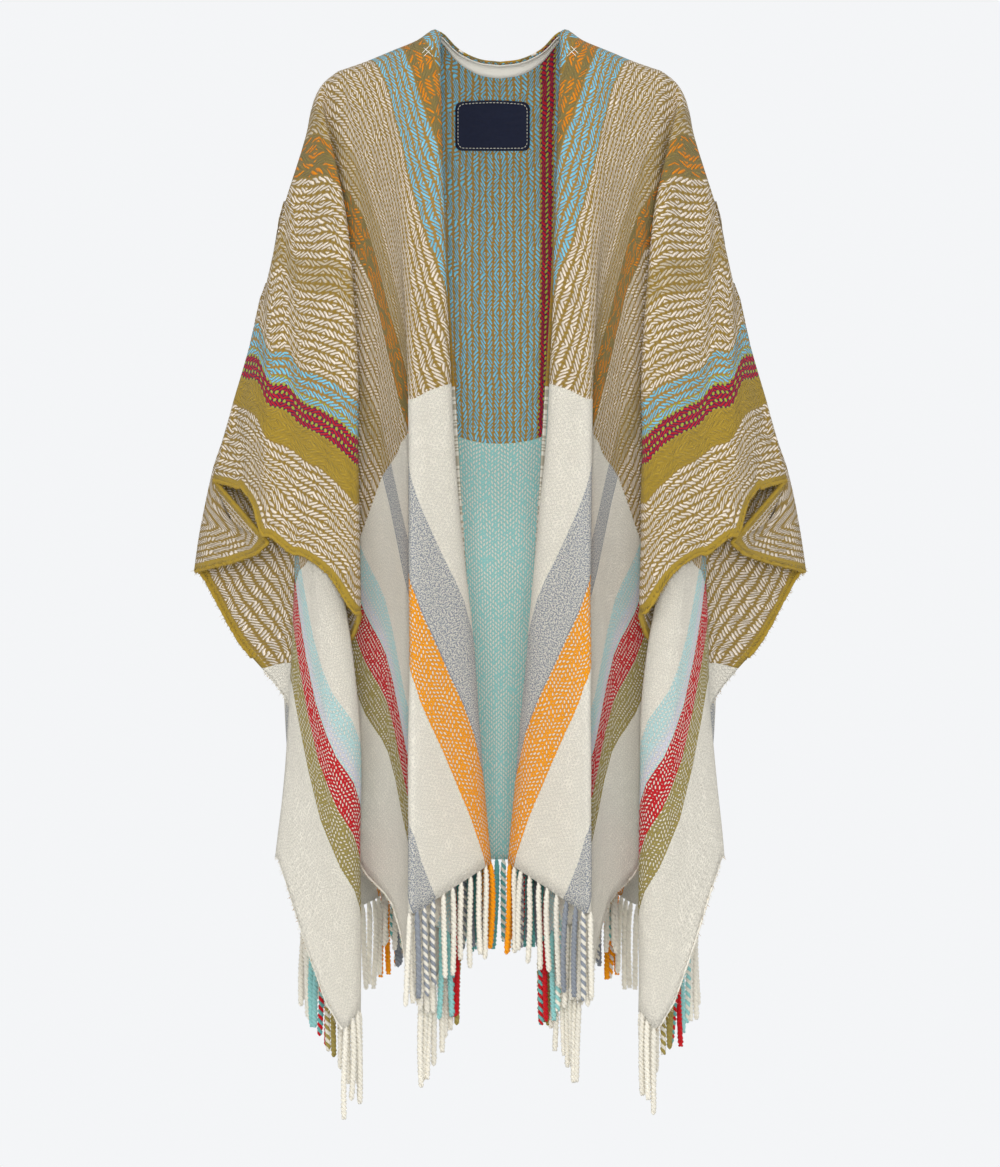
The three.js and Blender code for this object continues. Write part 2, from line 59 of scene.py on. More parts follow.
# Sizes of the flat blanket in millimetres, as in the part's own source
HALF_WIDTH = 717
HEM = 1000
NECK_HALF_WIDTH = 72
SLIT_EDGE = 3.5
SHOULDER_ROUNDNESS = 1
CROWDED_LENGTH = 300
BEND_RADIUS = 4
LINE_STEPS = 90

# The finer mesh of the render
ROWS = 84
ROW_CROWDING = 1.35
STEPS_PER_GAP = 4
STEPS_ROUND_BEND = 3

# Where the weft changes from olive to cream, down the front and down the back
FRONT_WEFT_CHANGE = 440
BACK_WEFT_CHANGE = 480

# The shoulder and arm line: distance from the neck point along the cloth, and its place
SHOULDER_LINE = (
    {"along": 0, "x": 75, "z": -1},
    {"along": 18, "x": 91, "z": -8},
    {"along": 49, "x": 120, "z": -20},
    {"along": 86, "x": 155, "z": -35},
    {"along": 130, "x": 195, "z": -49},
    {"along": 155, "x": 214, "z": -65},
    {"along": 173, "x": 222, "z": -82},
    {"along": 233, "x": 235, "z": -140},
    {"along": 274, "x": 250, "z": -178},
    {"along": 460, "x": 292, "z": -360},
    {"along": 522, "x": 312, "z": -418},
    {"along": 645, "x": 343, "z": -538},
)


def fold(name, u, length, x, y, floor, start=None, tight=False):
    """One line down the cloth: u at its top, middle and end, its reach from the shoulder, its places."""
    return {"name": name, "u": u, "length": length, "x": x, "y": y, "floor": floor,
            "start": start, "tight": tight}


# Folds of one front, from the slit outwards
FRONT_FOLDS = (
    fold("slit edge", (0, 0, 0), (70, 1000),
         (76, 62, 49, 33, 20), (-32, -66, -84, -82, -66), -990, start=(76, -32, -62)),
    fold("facing return", (18, 50, 82), (52, 1000),
         (84, 93, 90, 76, 56), (-22, -50, -54, -41, -12), -992, start=(84, -22, -48)),
    fold("facing fold", (36, 100, 165), (35, 1000),
         (93, 122, 136, 146, 140), (-18, -60, -50, -26, 18), -996, start=(93, -18, -36), tight=True),
    fold("facing", (54, 150, 247), (18, 1000),
         (84, 98, 96, 84, 62), (-13, -74, -78, -62, -32), -994, start=(84, -13, -20)),
    fold("front edge fold", (72, 198, 330), (0, 1000),
         (75, 68, 57, 34, 12), (0, -88, -104, -100, -96), -994, tight=True),
    fold("inner panel", (98, 225, 400), (0, 1000),
         (100, 90, 82, 70, 58), (0, -100, -127, -139, -140), -1022),
    fold("inner panel fold", (130, 250, 460), (0, 1000),
         (128, 112, 104, 103, 104), (0, -106, -136, -158, -170), -1049, tight=True),
    fold("hidden pleat", (165, 325, 600), (0, 1000),
         (157, 124, 92, 72, 52), (0, -100, -102, -86, -60), -1084, tight=True),
    fold("front corner", (190, 400, 717), (0, 1000),
         (182, 138, 112, 104, 96), (0, -97, -100, -96, -112), -1160),
    fold("middle panel", (200, 455, 717), (0, 870),
         (197, 156, 140, 134, 128), (0, -92, -92, -86, -90), -1042),
    fold("middle panel side", (208, 490, 717), (0, 745),
         (205, 172, 168, 167, 167), (0, -84, -78, -70, -70), -994),
    fold("armpit pleat", (221, 480, 717), (0, 480),
         (213, 200, 199, 206, 205), (0, -54, -55, -48, -42), -760, tight=True),
    fold("armpit leg", (234, 480, 717), (0, 370),
         (217, 194, 183, 178, 176), (0, -67, -80, -88, -92), -726),
    fold("sleeve fold", (248, 480, 717), (0, 262),
         (220, 188, 174, 171, 169), (0, -79, -105, -119, -126), -696, tight=True),
    fold("sleeve inner", (290, 504, 717), (0, 193),
         (232, 222, 213, 207, 203), (0, -58, -90, -110, -124), -649),
    fold("sleeve furrow", (370, 544, 717), (0, 148),
         (255, 250, 245, 242, 241), (0, -46, -70, -88, -100), -626, tight=True),
    fold("sleeve front", (470, 594, 717), (0, 105),
         (278, 280, 280, 280, 278), (0, -40, -60, -72, -80), -604, tight=True),
    fold("sleeve outer", (570, 644, 717), (0, 61),
         (304, 304, 301, 298, 294), (0, -24, -42, -54, -62), -565),
    fold("sleeve edge", (620, 669, 717), (0, 45),
         (318, 314, 310, 306, 303), (0, -16, -30, -40, -48), -553),
    fold("cuff front", (655, 686, 717), (0, 34),
         (327, 323, 319, 315, 311), (0, -12, -22, -30, -38), -546, tight=True),
    fold("cuff outer", (690, 704, 717), (0, 24),
         (336, 332, 328, 324, 320), (0, -8, -15, -21, -27), -544),
    fold("cuff tip", (717, 717, 717), (0, 0),
         (343, 343), (0, 0), -538),
)

# Folds of one half of the back, from the centre outwards, in the same columns
BACK_FOLDS = (
    fold("back centre", (0, 0, 0), (-5, 1000),
         (0, 0, 0, 0, 0), (38, 92, 104, 104, 100), -997, start=(0, 38, -34)),
    fold("back neck inner", (24, 26, 45), (-4, 1000),
         (25, 25, 26, 27, 28), (34, 92, 105, 110, 124), -998, start=(25, 34, -31)),
    fold("back neck outer", (48, 54, 96), (-2, 1000),
         (50, 50, 50, 50, 48), (21, 90, 106, 120, 158), -1000, start=(50, 21, -20)),
    fold("back under neck point", (72, 90, 150), (0, 1000),
         (75, 76, 78, 76, 74), (0, 86, 106, 122, 152), -1003, tight=True),
    fold("first back valley", (98, 128, 200), (0, 1000),
         (100, 104, 107, 101, 93), (0, 86, 105, 114, 115), -1010),
    fold("second back rise", (130, 172, 255), (0, 1000),
         (128, 134, 140, 130, 112), (0, 85, 104, 114, 126), -1024, tight=True),
    fold("second back flute", (165, 215, 315), (0, 1000),
         (157, 166, 175, 162, 136), (0, 82, 100, 120, 165), -1040, tight=True),
    fold("flute side", (190, 252, 375), (0, 1000),
         (182, 192, 208, 192, 162), (0, 76, 90, 108, 142), -1052),
    fold("back side", (200, 290, 440), (0, 1000),
         (197, 216, 240, 226, 206), (0, 66, 62, 74, 92), -1064),
    fold("side fold", (208, 325, 495), (0, 1000),
         (205, 232, 266, 258, 238), (0, 54, 16, 26, 40), -1070),
    fold("forward leg", (221, 352, 590), (0, 1000),
         (213, 242, 249, 232, 206), (0, 34, -30, -44, -50), -1112, tight=True),
    fold("wrapped leg", (234, 386, 633), (0, 1000),
         (217, 238, 244, 222, 203, 188, 186), (0, 26, -26, -68, -79, -82, -86), -1140),
    fold("wrapped fold", (248, 420, 676), (0, 1000),
         (220, 235, 237, 202, 172, 167, 167), (0, 15, -36, -96, -106, -114, -120), -1168, tight=True),
    fold("back corner", (290, 480, 717), (0, 1000),
         (232, 252, 254, 221, 206, 196, 186), (0, -2, -54, -104, -122, -130, -132), -1188),
    fold("wrapped panel side", (370, 540, 717), (0, 778),
         (255, 269, 266, 243, 244, 250, 263), (0, 3, -44, -81, -100, -113, -112), -985, tight=True),
    fold("hidden side pleat", (470, 594, 717), (0, 660),
         (278, 282, 268, 231, 223, 222, 220), (0, 8, -32, -76, -82, -84, -84), -900, tight=True),
    fold("sleeve back inner", (570, 644, 717), (0, 540),
         (304, 293, 273, 261, 253), (0, 6, -27, -43, -46), -802),
    fold("sleeve back", (620, 669, 717), (0, 430),
         (318, 322, 321, 317, 312), (0, 18, 18, 12, 4), -732),
    fold("back sleeve ridge", (655, 686, 717), (0, 240),
         (327, 340, 350, 358, 364), (0, 22, 32, 36, 36), -647, tight=True),
    fold("back sleeve valley", (690, 704, 717), (0, 110),
         (336, 333, 318, 298, 276), (0, 8, -6, -36, -68), -613),
    fold("cuff tip back", (717, 717, 717), (0, 0),
         (343, 343), (0, 0), -538),
)

# The stripes of one half from the middle out: the warp's yarn and the ground that shows between its
# floats above the change of weft, and the warp's yarn below it, where the ground is cream
STRIPES = (
    {"from": 0, "yarn": "blue", "ground": "ochre", "low_yarn": "aqua"},
    {"from": 90, "yarn": "orange", "ground": "slate", "low_yarn": "amber"},
    {"from": 121, "yarn": "blue", "ground": "ochre", "low_yarn": "aqua"},
    {"from": 158, "yarn": "beige", "ground": "olive", "low_yarn": "cream"},
    {"from": 260, "yarn": "fawn", "ground": "olive", "low_yarn": "grey"},
    {"from": 304, "yarn": "orange", "ground": "slate", "low_yarn": "amber"},
    {"from": 345, "yarn": "beige", "ground": "olive", "low_yarn": "cream"},
    {"from": 420, "yarn": "fawn", "ground": "olive", "low_yarn": "grey"},
    {"from": 455, "yarn": "beige", "ground": "olive", "low_yarn": "cream"},
    {"from": 531, "yarn": "blue", "ground": "ochre", "low_yarn": "ice"},
    {"from": 563, "yarn": "red", "ground": "purple", "low_yarn": "scarlet"},
    {"from": 593, "yarn": "moss", "ground": "moss", "low_yarn": "khaki"},
    {"from": 624, "yarn": "beige", "ground": "olive", "low_yarn": "cream"},
)
# The one stripe that only the wearer's left of the back has
BACK_RED_FROM = 47
BACK_RED_TO = 66
# Where the pale stripe turns lilac below the change of weft
LILAC_FROM = 546
LILAC_FULL = 562

# The weaves: the width of a column of floats, the floats' pitch along the warp and their slope, the
# columns and rows that lean one way before the lean turns, the step from a column to the next as a
# share of the pitch, and a float's half width and half thickness
UPPER_WEAVE = {"column": 8.0, "pitch": 6.1, "slope": 1.55, "columns": 2, "rows": 4, "step": 0,
               "half_width": 3.1, "half_thickness": 1.22}
LOWER_WEAVE = {"column": 3.8, "pitch": 5.7, "slope": 1.0, "columns": 3, "rows": 7, "step": 0.5,
               "half_width": 1.1, "half_thickness": 1.05}
# A weft knot's half width and half height between the columns
KNOT_WIDTH = 1.9
KNOT_HEIGHT = 1.8
# Shares of the floats: slate ones in the orange stripes, and flecks that are missing below
SLATE_FLOATS = 0.34
MISSING_FLECKS = 0.14
# Where the weave follows the sleeve's end instead of the warp: from the middle and down the cloth
SLEEVE_END = (640, 690)
SLEEVE_DROP = (205, 255)
SELVEDGE = (7.2, 8.4)
DOT_PITCH = 1.7

# The fringe: steps along a strand, sides of a ply, the twist's pitch, and how far a strand hangs
# before it is plumb
STRAND_STEPS = 44
PLY_SIDES = 5
TWIST_PITCH = 10.5
PLUMB_AFTER = 32

# The tape, and its lift from the back's middle surface
TAPE_THICKNESS = 1
TAPE_LIFT = 2.6
TAPE_FROM = 3
TAPE_STEPS = 5

# The label patch: its corners, its arched top, its mesh, and its stitches
LABEL_CORNER = 7
LABEL_ARCH = 3
LABEL_BEVEL = 0.35
LABEL_LIFTS = (3.4, 2.2)
CORNER_STEPS = 6
OUTLINE_POINTS = 72
LABEL_RINGS = 9
STITCH_PITCH = 4.2
STITCH_LIFT = 4.1
STITCH_RADII = (0.3, 0.5, 0.55, 0.5, 0.3)

# The sewn edges: the rolled edge's radius above and below the change of weft, its step and its hairs
OVERLOCK_ABOVE = 2.7
OVERLOCK_BELOW = 1.5
OVERLOCK_STEP = 2.2
HAIRS = 5
HAIR_RADII = (0.32, 0.24, 0.1)
NECK_ROLL_RADIUS = 1.2
NECK_ROLL_YARNS = ("ochre", "slate", "moss", "beige", "slate")
# The tacking stitches on the left shoulder, as x and z of both ends
TACKS = (((80, -22), (91, -33)), ((91, -22), (80, -33)), ((84, -20), (95, -31)))
TACK_RADIUS = 0.4
TACK_LIFT = 2.6
TACK_STEPS = 6

# The stage, in metres and watts: the floor, and the lamps around and inside the garment
FLOOR_LEVEL = -1.52
FLOOR_RADIUS = 1.5
FLOOR_CORNERS = 96
LAMP_TARGET = (0, 0, -0.6)
LAMPS = (
    {"name": "key", "place": (-2.4, -4.2, 1.0), "side": 2.6, "power": 34},
    {"name": "fill", "place": (2.6, -4.2, 0.2), "side": 3.0, "power": 16},
    {"name": "front", "place": (0, -5.4, -0.2), "side": 1.2, "power": 124},
    {"name": "top", "place": (0.2, -0.6, 2.6), "side": 2.4, "power": 16},
    {"name": "rear", "place": (0.8, 4.8, 0.4), "side": 3.0, "power": 110},
)
INNER_LAMPS = (
    {"name": "inside_high", "place": (0, -0.02, -0.42), "power": 0.15},
    {"name": "inside_low", "place": (0, 0.03, -0.8), "power": 0.13},
)
INNER_LAMP_SIZE = (0.2, 0.42)
ROOM_LIGHT = 0.63
# The photo's height and the shoulder line's place in it in pixels, and a pixel's size on the garment
PHOTO_HEIGHT = 1167
SHOULDER_PIXEL = 32
PIXEL = 1.2
CAMERA_DISTANCE = 8.0
CAMERA_SENSOR = 24


def linear(code):
    """The scene-linear colour of an sRGB hex code."""
    values = [int(code[i:i + 2], 16) / 255 for i in (0, 2, 4)]
    return tuple(v / 12.92 if v <= 0.04045 else ((v + 0.055) / 1.055) ** 2.4 for v in values)


def colour(title, code):
    """A colour that a user can change."""
    return FloatVectorProperty(name=title, description=f"Colour of the {title.lower()}", subtype="COLOR",
                               size=3, min=0, max=1, default=linear(code))


def length(title, millimetres, description):
    """A length that a user can change."""
    return FloatProperty(name=title, description=description, subtype="DISTANCE", unit="LENGTH",
                         min=0, default=millimetres * MM)


class YarnSettings(bpy.types.PropertyGroup):
    """Colours of the yarns."""
    beige: colour("Beige warp", "f1e3d2")
    fawn: colour("Fawn warp", "cfbfa4")
    olive: colour("Olive weft", "997b2c")
    moss: colour("Moss stripe", "ab8d30")
    ochre: colour("Ochre weft", "a9802a")
    slate: colour("Slate ground", "867542")
    blue: colour("Blue warp", "7ccbe6")
    orange: colour("Orange warp", "e88a06")
    red: colour("Red warp", "bf1226")
    purple: colour("Purple ground", "4d1c4e")
    lime: colour("Lime fleck", "a8b43c")
    cream: colour("Cream weft", "eee8d9")
    grey: colour("Grey warp", "8f949c")
    aqua: colour("Aqua warp", "97d0cc")
    ice: colour("Ice warp", "bcdcda")
    teal: colour("Teal yarn", "6db3ae")
    lilac: colour("Lilac warp", "ddd2e0")
    amber: colour("Amber warp", "f69e10")
    scarlet: colour("Scarlet warp", "c8161f")
    khaki: colour("Khaki warp", "a08f4c")
    tape: colour("Neck tape", "f3efe4")
    navy: colour("Label patch", "141a30")
    thread: colour("Label thread", "d8d5c6")


class ClothSettings(bpy.types.PropertyGroup):
    """Sizes of the cloth and of what is sewn to it."""
    thickness: length("Cloth thickness", 3, "Thickness of the blanket")
    tape_width: length("Tape width", 26, "Width of the neck tape")
    strand_length: length("Strand length", 108, "Length of the fringe strands")
    strand_pitch: length("Strand pitch", 13, "Distance between strands along the hem")
    ply: length("Ply radius", 2.25, "Radius of one of a strand's two plies")


def mix(a, b, t):
    return a + (b - a) * t


def through(values, t):
    """A smooth curve through evenly spaced values."""
    last = len(values) - 1
    place = min(max(t, 0), 1) * last
    i = min(int(place), last - 1)
    f = place - i

    def at(n):
        if n < 0:
            return 2 * values[0] - values[1]
        if n > last:
            return 2 * values[last] - values[last - 1]
        return values[n]

    a, b, c, d = at(i - 1), at(i), at(i + 1), at(i + 2)
    return b + 0.5 * f * (c - a + f * (2 * a - 5 * b + 4 * c - d + f * (3 * (b - c) + d - a)))


def shoulder_point(along):
    for a, b in zip(SHOULDER_LINE, SHOULDER_LINE[1:]):
        if b["along"] >= along:
            t = (along - a["along"]) / (b["along"] - a["along"])
            return mix(a["x"], b["x"], t), 0, mix(a["z"], b["z"], t)
    raise ValueError(f"the shoulder line ends before {along} mm")


def fold_line(row):
    """A fold as an array of x, y, z, u and v, its height worked out from its length of cloth."""
    start = row["start"] or shoulder_point(row["u"][0] - NECK_HALF_WIDTH)
    top, end = row["length"]
    shift_x, shift_y = start[0] - row["x"][0], start[1] - row["y"][0]
    points = np.zeros((LINE_STEPS + 1, 5))
    for i in range(LINE_STEPS + 1):
        t = i / LINE_STEPS
        fade = (1 - t) ** 4
        near = min(t * (len(row["y"]) - 1), 1)
        level = SHOULDER_ROUNDNESS * math.sqrt(near) * (1 - near) ** 2
        points[i] = (
            through(row["x"], t) + shift_x * fade,
            through(row["y"], t) + shift_y * fade + level * (row["y"][1] - row["y"][0]),
            0, through(row["u"], t), mix(top, end, t),
        )
    steps = np.diff(points, axis=0)
    cloth = np.hypot(steps[:, 3], steps[:, 4])
    across = np.hypot(steps[:, 0], steps[:, 1])
    drops = np.sqrt(np.maximum(cloth ** 2 - across ** 2, (0.25 * cloth) ** 2))
    drop = np.concatenate([[0], np.cumsum(drops)])
    points[:, 2] = mix(start[2], row["floor"], drop / (drop[-1] or 1))
    return points


def line_at(points, t):
    """The point at a share of a fold line's length, and the fold's direction there."""
    reach = points[-1, 4] - points[0, 4]
    place = t ** mix(1, ROW_CROWDING, min(reach / CROWDED_LENGTH, 1)) * LINE_STEPS
    i = min(int(place), LINE_STEPS - 1)
    heading = points[i + 1, :3] - points[i, :3]
    size = np.linalg.norm(heading)
    return mix(points[i], points[i + 1], place - i), heading / size if size else heading


def bends(knots, folds):
    """A tight fold becomes two points, one on each side of its bend."""
    made = []
    last = len(knots) - 1
    for i, (b, heading) in enumerate(knots):
        if not folds[i]["tight"] or i in (0, last):
            made.append((b, 1 if i == last - 1 else STEPS_PER_GAP))
            continue
        a, c = knots[i - 1][0], knots[i + 1][0]
        to_a, to_c = (p[:3] - b[:3] - heading * np.dot(p[:3] - b[:3], heading) for p in (a, c))
        reach_a, reach_c = np.linalg.norm(to_a), np.linalg.norm(to_c)
        out = to_c / reach_c - to_a / reach_a
        out /= np.linalg.norm(out)
        radius = min(BEND_RADIUS, reach_a / 4, reach_c / 4)
        sides = ((a, reach_a, -1, STEPS_ROUND_BEND), (c, reach_c, 1, STEPS_PER_GAP))
        for towards, reach, sign, steps in sides:
            point = mix(b, towards, radius / reach)
            point[:3] = b[:3] + sign * radius * out
            made.append((point, steps))
    return made


def across_folds(lines, folds, t):
    """Points across the folds at one level, smoothed through the fold lines by their distance."""
    knots = bends([line_at(points, t) for points in lines], folds)
    row = []
    for i in range(len(knots) - 1):
        (b, steps), c = knots[i], knots[i + 1][0]
        a = knots[i - 1][0] if i else 2 * b - c
        d = knots[i + 2][0] if i + 2 < len(knots) else 2 * c - b
        gaps = [math.sqrt(max(np.linalg.norm((q - p)[:3]), 1e-3)) for p, q in ((a, b), (b, c), (c, d))]
        t1, t2, t3 = gaps[0], gaps[0] + gaps[1], sum(gaps)
        for s in range(steps):
            f = s / steps
            at = mix(t1, t2, f)
            a1 = (a * (t1 - at) + b * at) / t1
            a2 = (b * (t2 - at) + c * (at - t1)) / (t2 - t1)
            a3 = (c * (t3 - at) + d * (at - t2)) / (t3 - t2)
            b1 = (a1 * (t2 - at) + a2 * at) / t2
            b2 = (a2 * (t3 - at) + a3 * (at - t1)) / (t3 - t1)
            point = (b1 * (t2 - at) + b2 * (at - t1)) / (t2 - t1)
            point[3:] = mix(b[3:], c[3:], f)
            row.append(point)
    row.append(knots[-1][0])
    return row


def sheet_rows(folds):
    """An array of rows, columns and x, y, z, u, v for one half of the front or of the back."""
    lines = [fold_line(row) for row in folds]
    return np.array([across_folds(lines, folds, i / ROWS) for i in range(ROWS + 1)])


def column_of(folds, name):
    """The column of a fold's first point."""
    place = [row["name"] for row in folds].index(name)
    before = sum(row["tight"] for row in folds[1:place])
    return place * STEPS_PER_GAP + before * STEPS_ROUND_BEND


front_rows = sheet_rows(FRONT_FOLDS)
back_rows = sheet_rows(BACK_FOLDS)
FRONT_JOIN = column_of(FRONT_FOLDS, "front edge fold") + STEPS_ROUND_BEND
BACK_JOIN = column_of(BACK_FOLDS, "back under neck point") + STEPS_ROUND_BEND
back_rows[0, BACK_JOIN:] = front_rows[0, FRONT_JOIN:]


def sided(rows, side):
    """A half's rows on the wearer's right (-1) or left (1), with u signed in the same way."""
    return rows * np.array([side, 1, 1, side, 1])


def ripple(points):
    """Small uneven waves of the cloth, in millimetres along its normal."""
    u, v = points[:, 3], points[:, 4]
    side = np.where(u < 0, 1.7, 0)
    waves = (np.sin(u / 31 + 1.3 * np.sin(v / 97 + side)) * np.sin(v / 143 + 0.7 + side)
             + 0.6 * np.sin(u / 17 + v / 71 + 2 * side) * np.sin(v / 59 + 1.1))
    return 0.9 * waves * np.clip(v / 160, 0, 1)


def evenly(path, count):
    """The same path in steps of one length."""
    path = np.asarray(path, float)
    run = np.concatenate([[0], np.cumsum(np.linalg.norm(np.diff(path, axis=0), axis=1))])
    stops = np.linspace(0, run[-1], count + 1)
    return np.stack([np.interp(stops, run, path[:, k]) for k in range(path.shape[1])], axis=1).tolist()


def selvedge_of(rows):
    """The side edge of one sheet, from the arm's end to the hem's corner."""
    return rows[-1][np.abs(rows[-1, :, 3]) > HALF_WIDTH - 0.5]


def with_edge(rows):
    """The same points with one value more: how far each lies from the selvedge, in millimetres."""
    edge = evenly(selvedge_of(rows)[:, :3], 160)
    gaps = np.linalg.norm(rows[:, :, None, :3] - np.array(edge)[None, None], axis=3).min(axis=2)
    return np.concatenate([rows, gaps[:, :, None]], axis=2)


class Surface:
    """A middle surface of quads whose points carry u, v and other values."""

    def __init__(self, grids):
        points, faces, extra, count = [], [], [], 0
        for rows, flip, rear in grids:
            height, width = rows.shape[:2]
            points.append(rows.reshape(-1, rows.shape[2]))
            extra.append(np.full(height * width, rear, float))
            index = np.arange(height * width).reshape(height, width) + count
            quads = np.stack([index[:-1, :-1], index[:-1, 1:], index[1:, 1:], index[1:, :-1]], axis=-1)
            quads = quads.reshape(-1, 4)
            faces.append(quads[:, ::-1] if flip < 0 else quads)
            count += height * width
        points, extra, faces = np.concatenate(points), np.concatenate(extra), np.concatenate(faces)
        keys = np.round(points[:, :3] * 1000).astype(np.int64)
        _, first, inverse = np.unique(keys, axis=0, return_index=True, return_inverse=True)
        self.points, self.rear = points[first], extra[first]
        self.faces = [tuple(dict.fromkeys(quad)) for quad in inverse.reshape(-1)[faces].tolist()]
        self.faces = [face for face in self.faces if len(face) > 2]
        self.normals = self.find_normals()

    def find_normals(self):
        """Vertex normals, each face counted by its area."""
        normals = np.zeros((len(self.points), 3))
        for face in self.faces:
            corners = self.points[list(face), :3]
            normal = sum(np.cross(corners[k] - corners[0], corners[k + 1] - corners[0])
                         for k in range(1, len(face) - 1))
            normals[list(face)] += normal
        sizes = np.linalg.norm(normals, axis=1)
        return normals / np.where(sizes > 0, sizes, 1)[:, None]

    def shell(self, name, thickness, offset=0.0, waves=None):
        """A closed mesh around the middle surface, with the attributes across, along, below and rear."""
        places = self.points[:, :3] + self.normals * (0 if waves is None else waves[:, None])
        inner = places + self.normals * (offset + thickness / 2)
        outer = places + self.normals * (offset - thickness / 2)
        count = len(places)
        faces = list(self.faces) + [tuple(i + count for i in reversed(face)) for face in self.faces]
        edges = {(a, b) for face in self.faces for a, b in zip(face, face[1:] + face[:1])}
        faces += [(b, a, a + count, b + count) for a, b in sorted(edges) if (b, a) not in edges]
        mesh = bpy.data.meshes.new(name)
        mesh.from_pydata((np.concatenate([inner, outer]) * MM).tolist(), [], faces)
        change = np.where(self.rear > 0.5, BACK_WEFT_CHANGE, FRONT_WEFT_CHANGE)
        values = {"across": self.points[:, 3], "along": self.points[:, 4],
                  "below": self.points[:, 4] - change, "rear": self.rear}
        if self.points.shape[1] > 5:
            values["inward"] = self.points[:, 5]
        for key, value in values.items():
            mesh.attributes.new(key, "FLOAT", "POINT").data.foreach_set("value", np.tile(value, 2))
        return add_object(name, mesh)


def add_object(name, mesh):
    """Links a new object with smooth faces."""
    mesh.polygons.foreach_set("use_smooth", [True] * len(mesh.polygons))
    mesh.update()
    piece = bpy.data.objects.new(name, mesh)
    bpy.context.scene.collection.objects.link(piece)
    return piece


class MeshPile:
    """Vertices and faces of many small shapes, joined in one mesh, with a colour for each vertex."""

    def __init__(self):
        self.points, self.faces, self.colours = [], [], []

    def tube(self, path, radii, sides, tint):
        """A closed tube along a path of points in millimetres."""
        path = np.asarray(path, float)
        tangents = np.gradient(path, axis=0)
        tangents /= np.linalg.norm(tangents, axis=1)[:, None]
        first = len(self.points)
        normal = np.cross(tangents[0], (0.31, 0.9, 0.12))
        for point, tangent, radius in zip(path, tangents, radii):
            normal = normal - tangent * np.dot(normal, tangent)
            normal /= np.linalg.norm(normal)
            other = np.cross(tangent, normal)
            for k in range(sides):
                angle = 2 * math.pi * k / sides
                self.points.append(point + radius * (math.cos(angle) * normal + math.sin(angle) * other))
                self.colours.append(tint)
        for n in range(len(path) - 1):
            for k in range(sides):
                a, b = first + n * sides + k, first + n * sides + (k + 1) % sides
                self.faces.append((a, b, b + sides, a + sides))
        last = first + (len(path) - 1) * sides
        self.faces.append(tuple(range(first, first + sides))[::-1])
        self.faces.append(tuple(range(last, last + sides)))

    def build(self, name):
        mesh = bpy.data.meshes.new(name)
        mesh.from_pydata((np.array(self.points) * MM).tolist(), [], self.faces)
        tints = np.concatenate([np.array(self.colours), np.ones((len(self.colours), 1))], axis=1)
        mesh.attributes.new("tint", "FLOAT_COLOR", "POINT").data.foreach_set("color", tints.reshape(-1))
        return add_object(name, mesh)


class Value:
    """A shader socket that takes part in Python expressions."""

    def __init__(self, graph, socket):
        self.graph, self.socket = graph, socket

    def __add__(self, other):
        return self.graph.math("ADD", self, other)

    def __sub__(self, other):
        return self.graph.math("SUBTRACT", self, other)

    def __rsub__(self, other):
        return self.graph.math("SUBTRACT", other, self)

    def __mul__(self, other):
        return self.graph.math("MULTIPLY", self, other)

    def __truediv__(self, other):
        return self.graph.math("DIVIDE", self, other)

    def __mod__(self, other):
        return self.graph.math("FLOORED_MODULO", self, other)

    def __abs__(self):
        return self.graph.math("ABSOLUTE", self)

    def __lt__(self, other):
        return self.graph.math("LESS_THAN", self, other)

    def __gt__(self, other):
        return self.graph.math("GREATER_THAN", self, other)

    __radd__ = __add__
    __rmul__ = __mul__

    def floor(self):
        return self.graph.math("FLOOR", self)

    def root(self):
        return self.graph.math("SQRT", self)

    def smooth(self, low, high):
        """0 below low, 1 above high, and smooth between."""
        return self.graph.node("ShaderNodeMapRange", {"interpolation_type": "SMOOTHSTEP"},
                               {"Value": self, "From Min": low, "From Max": high})


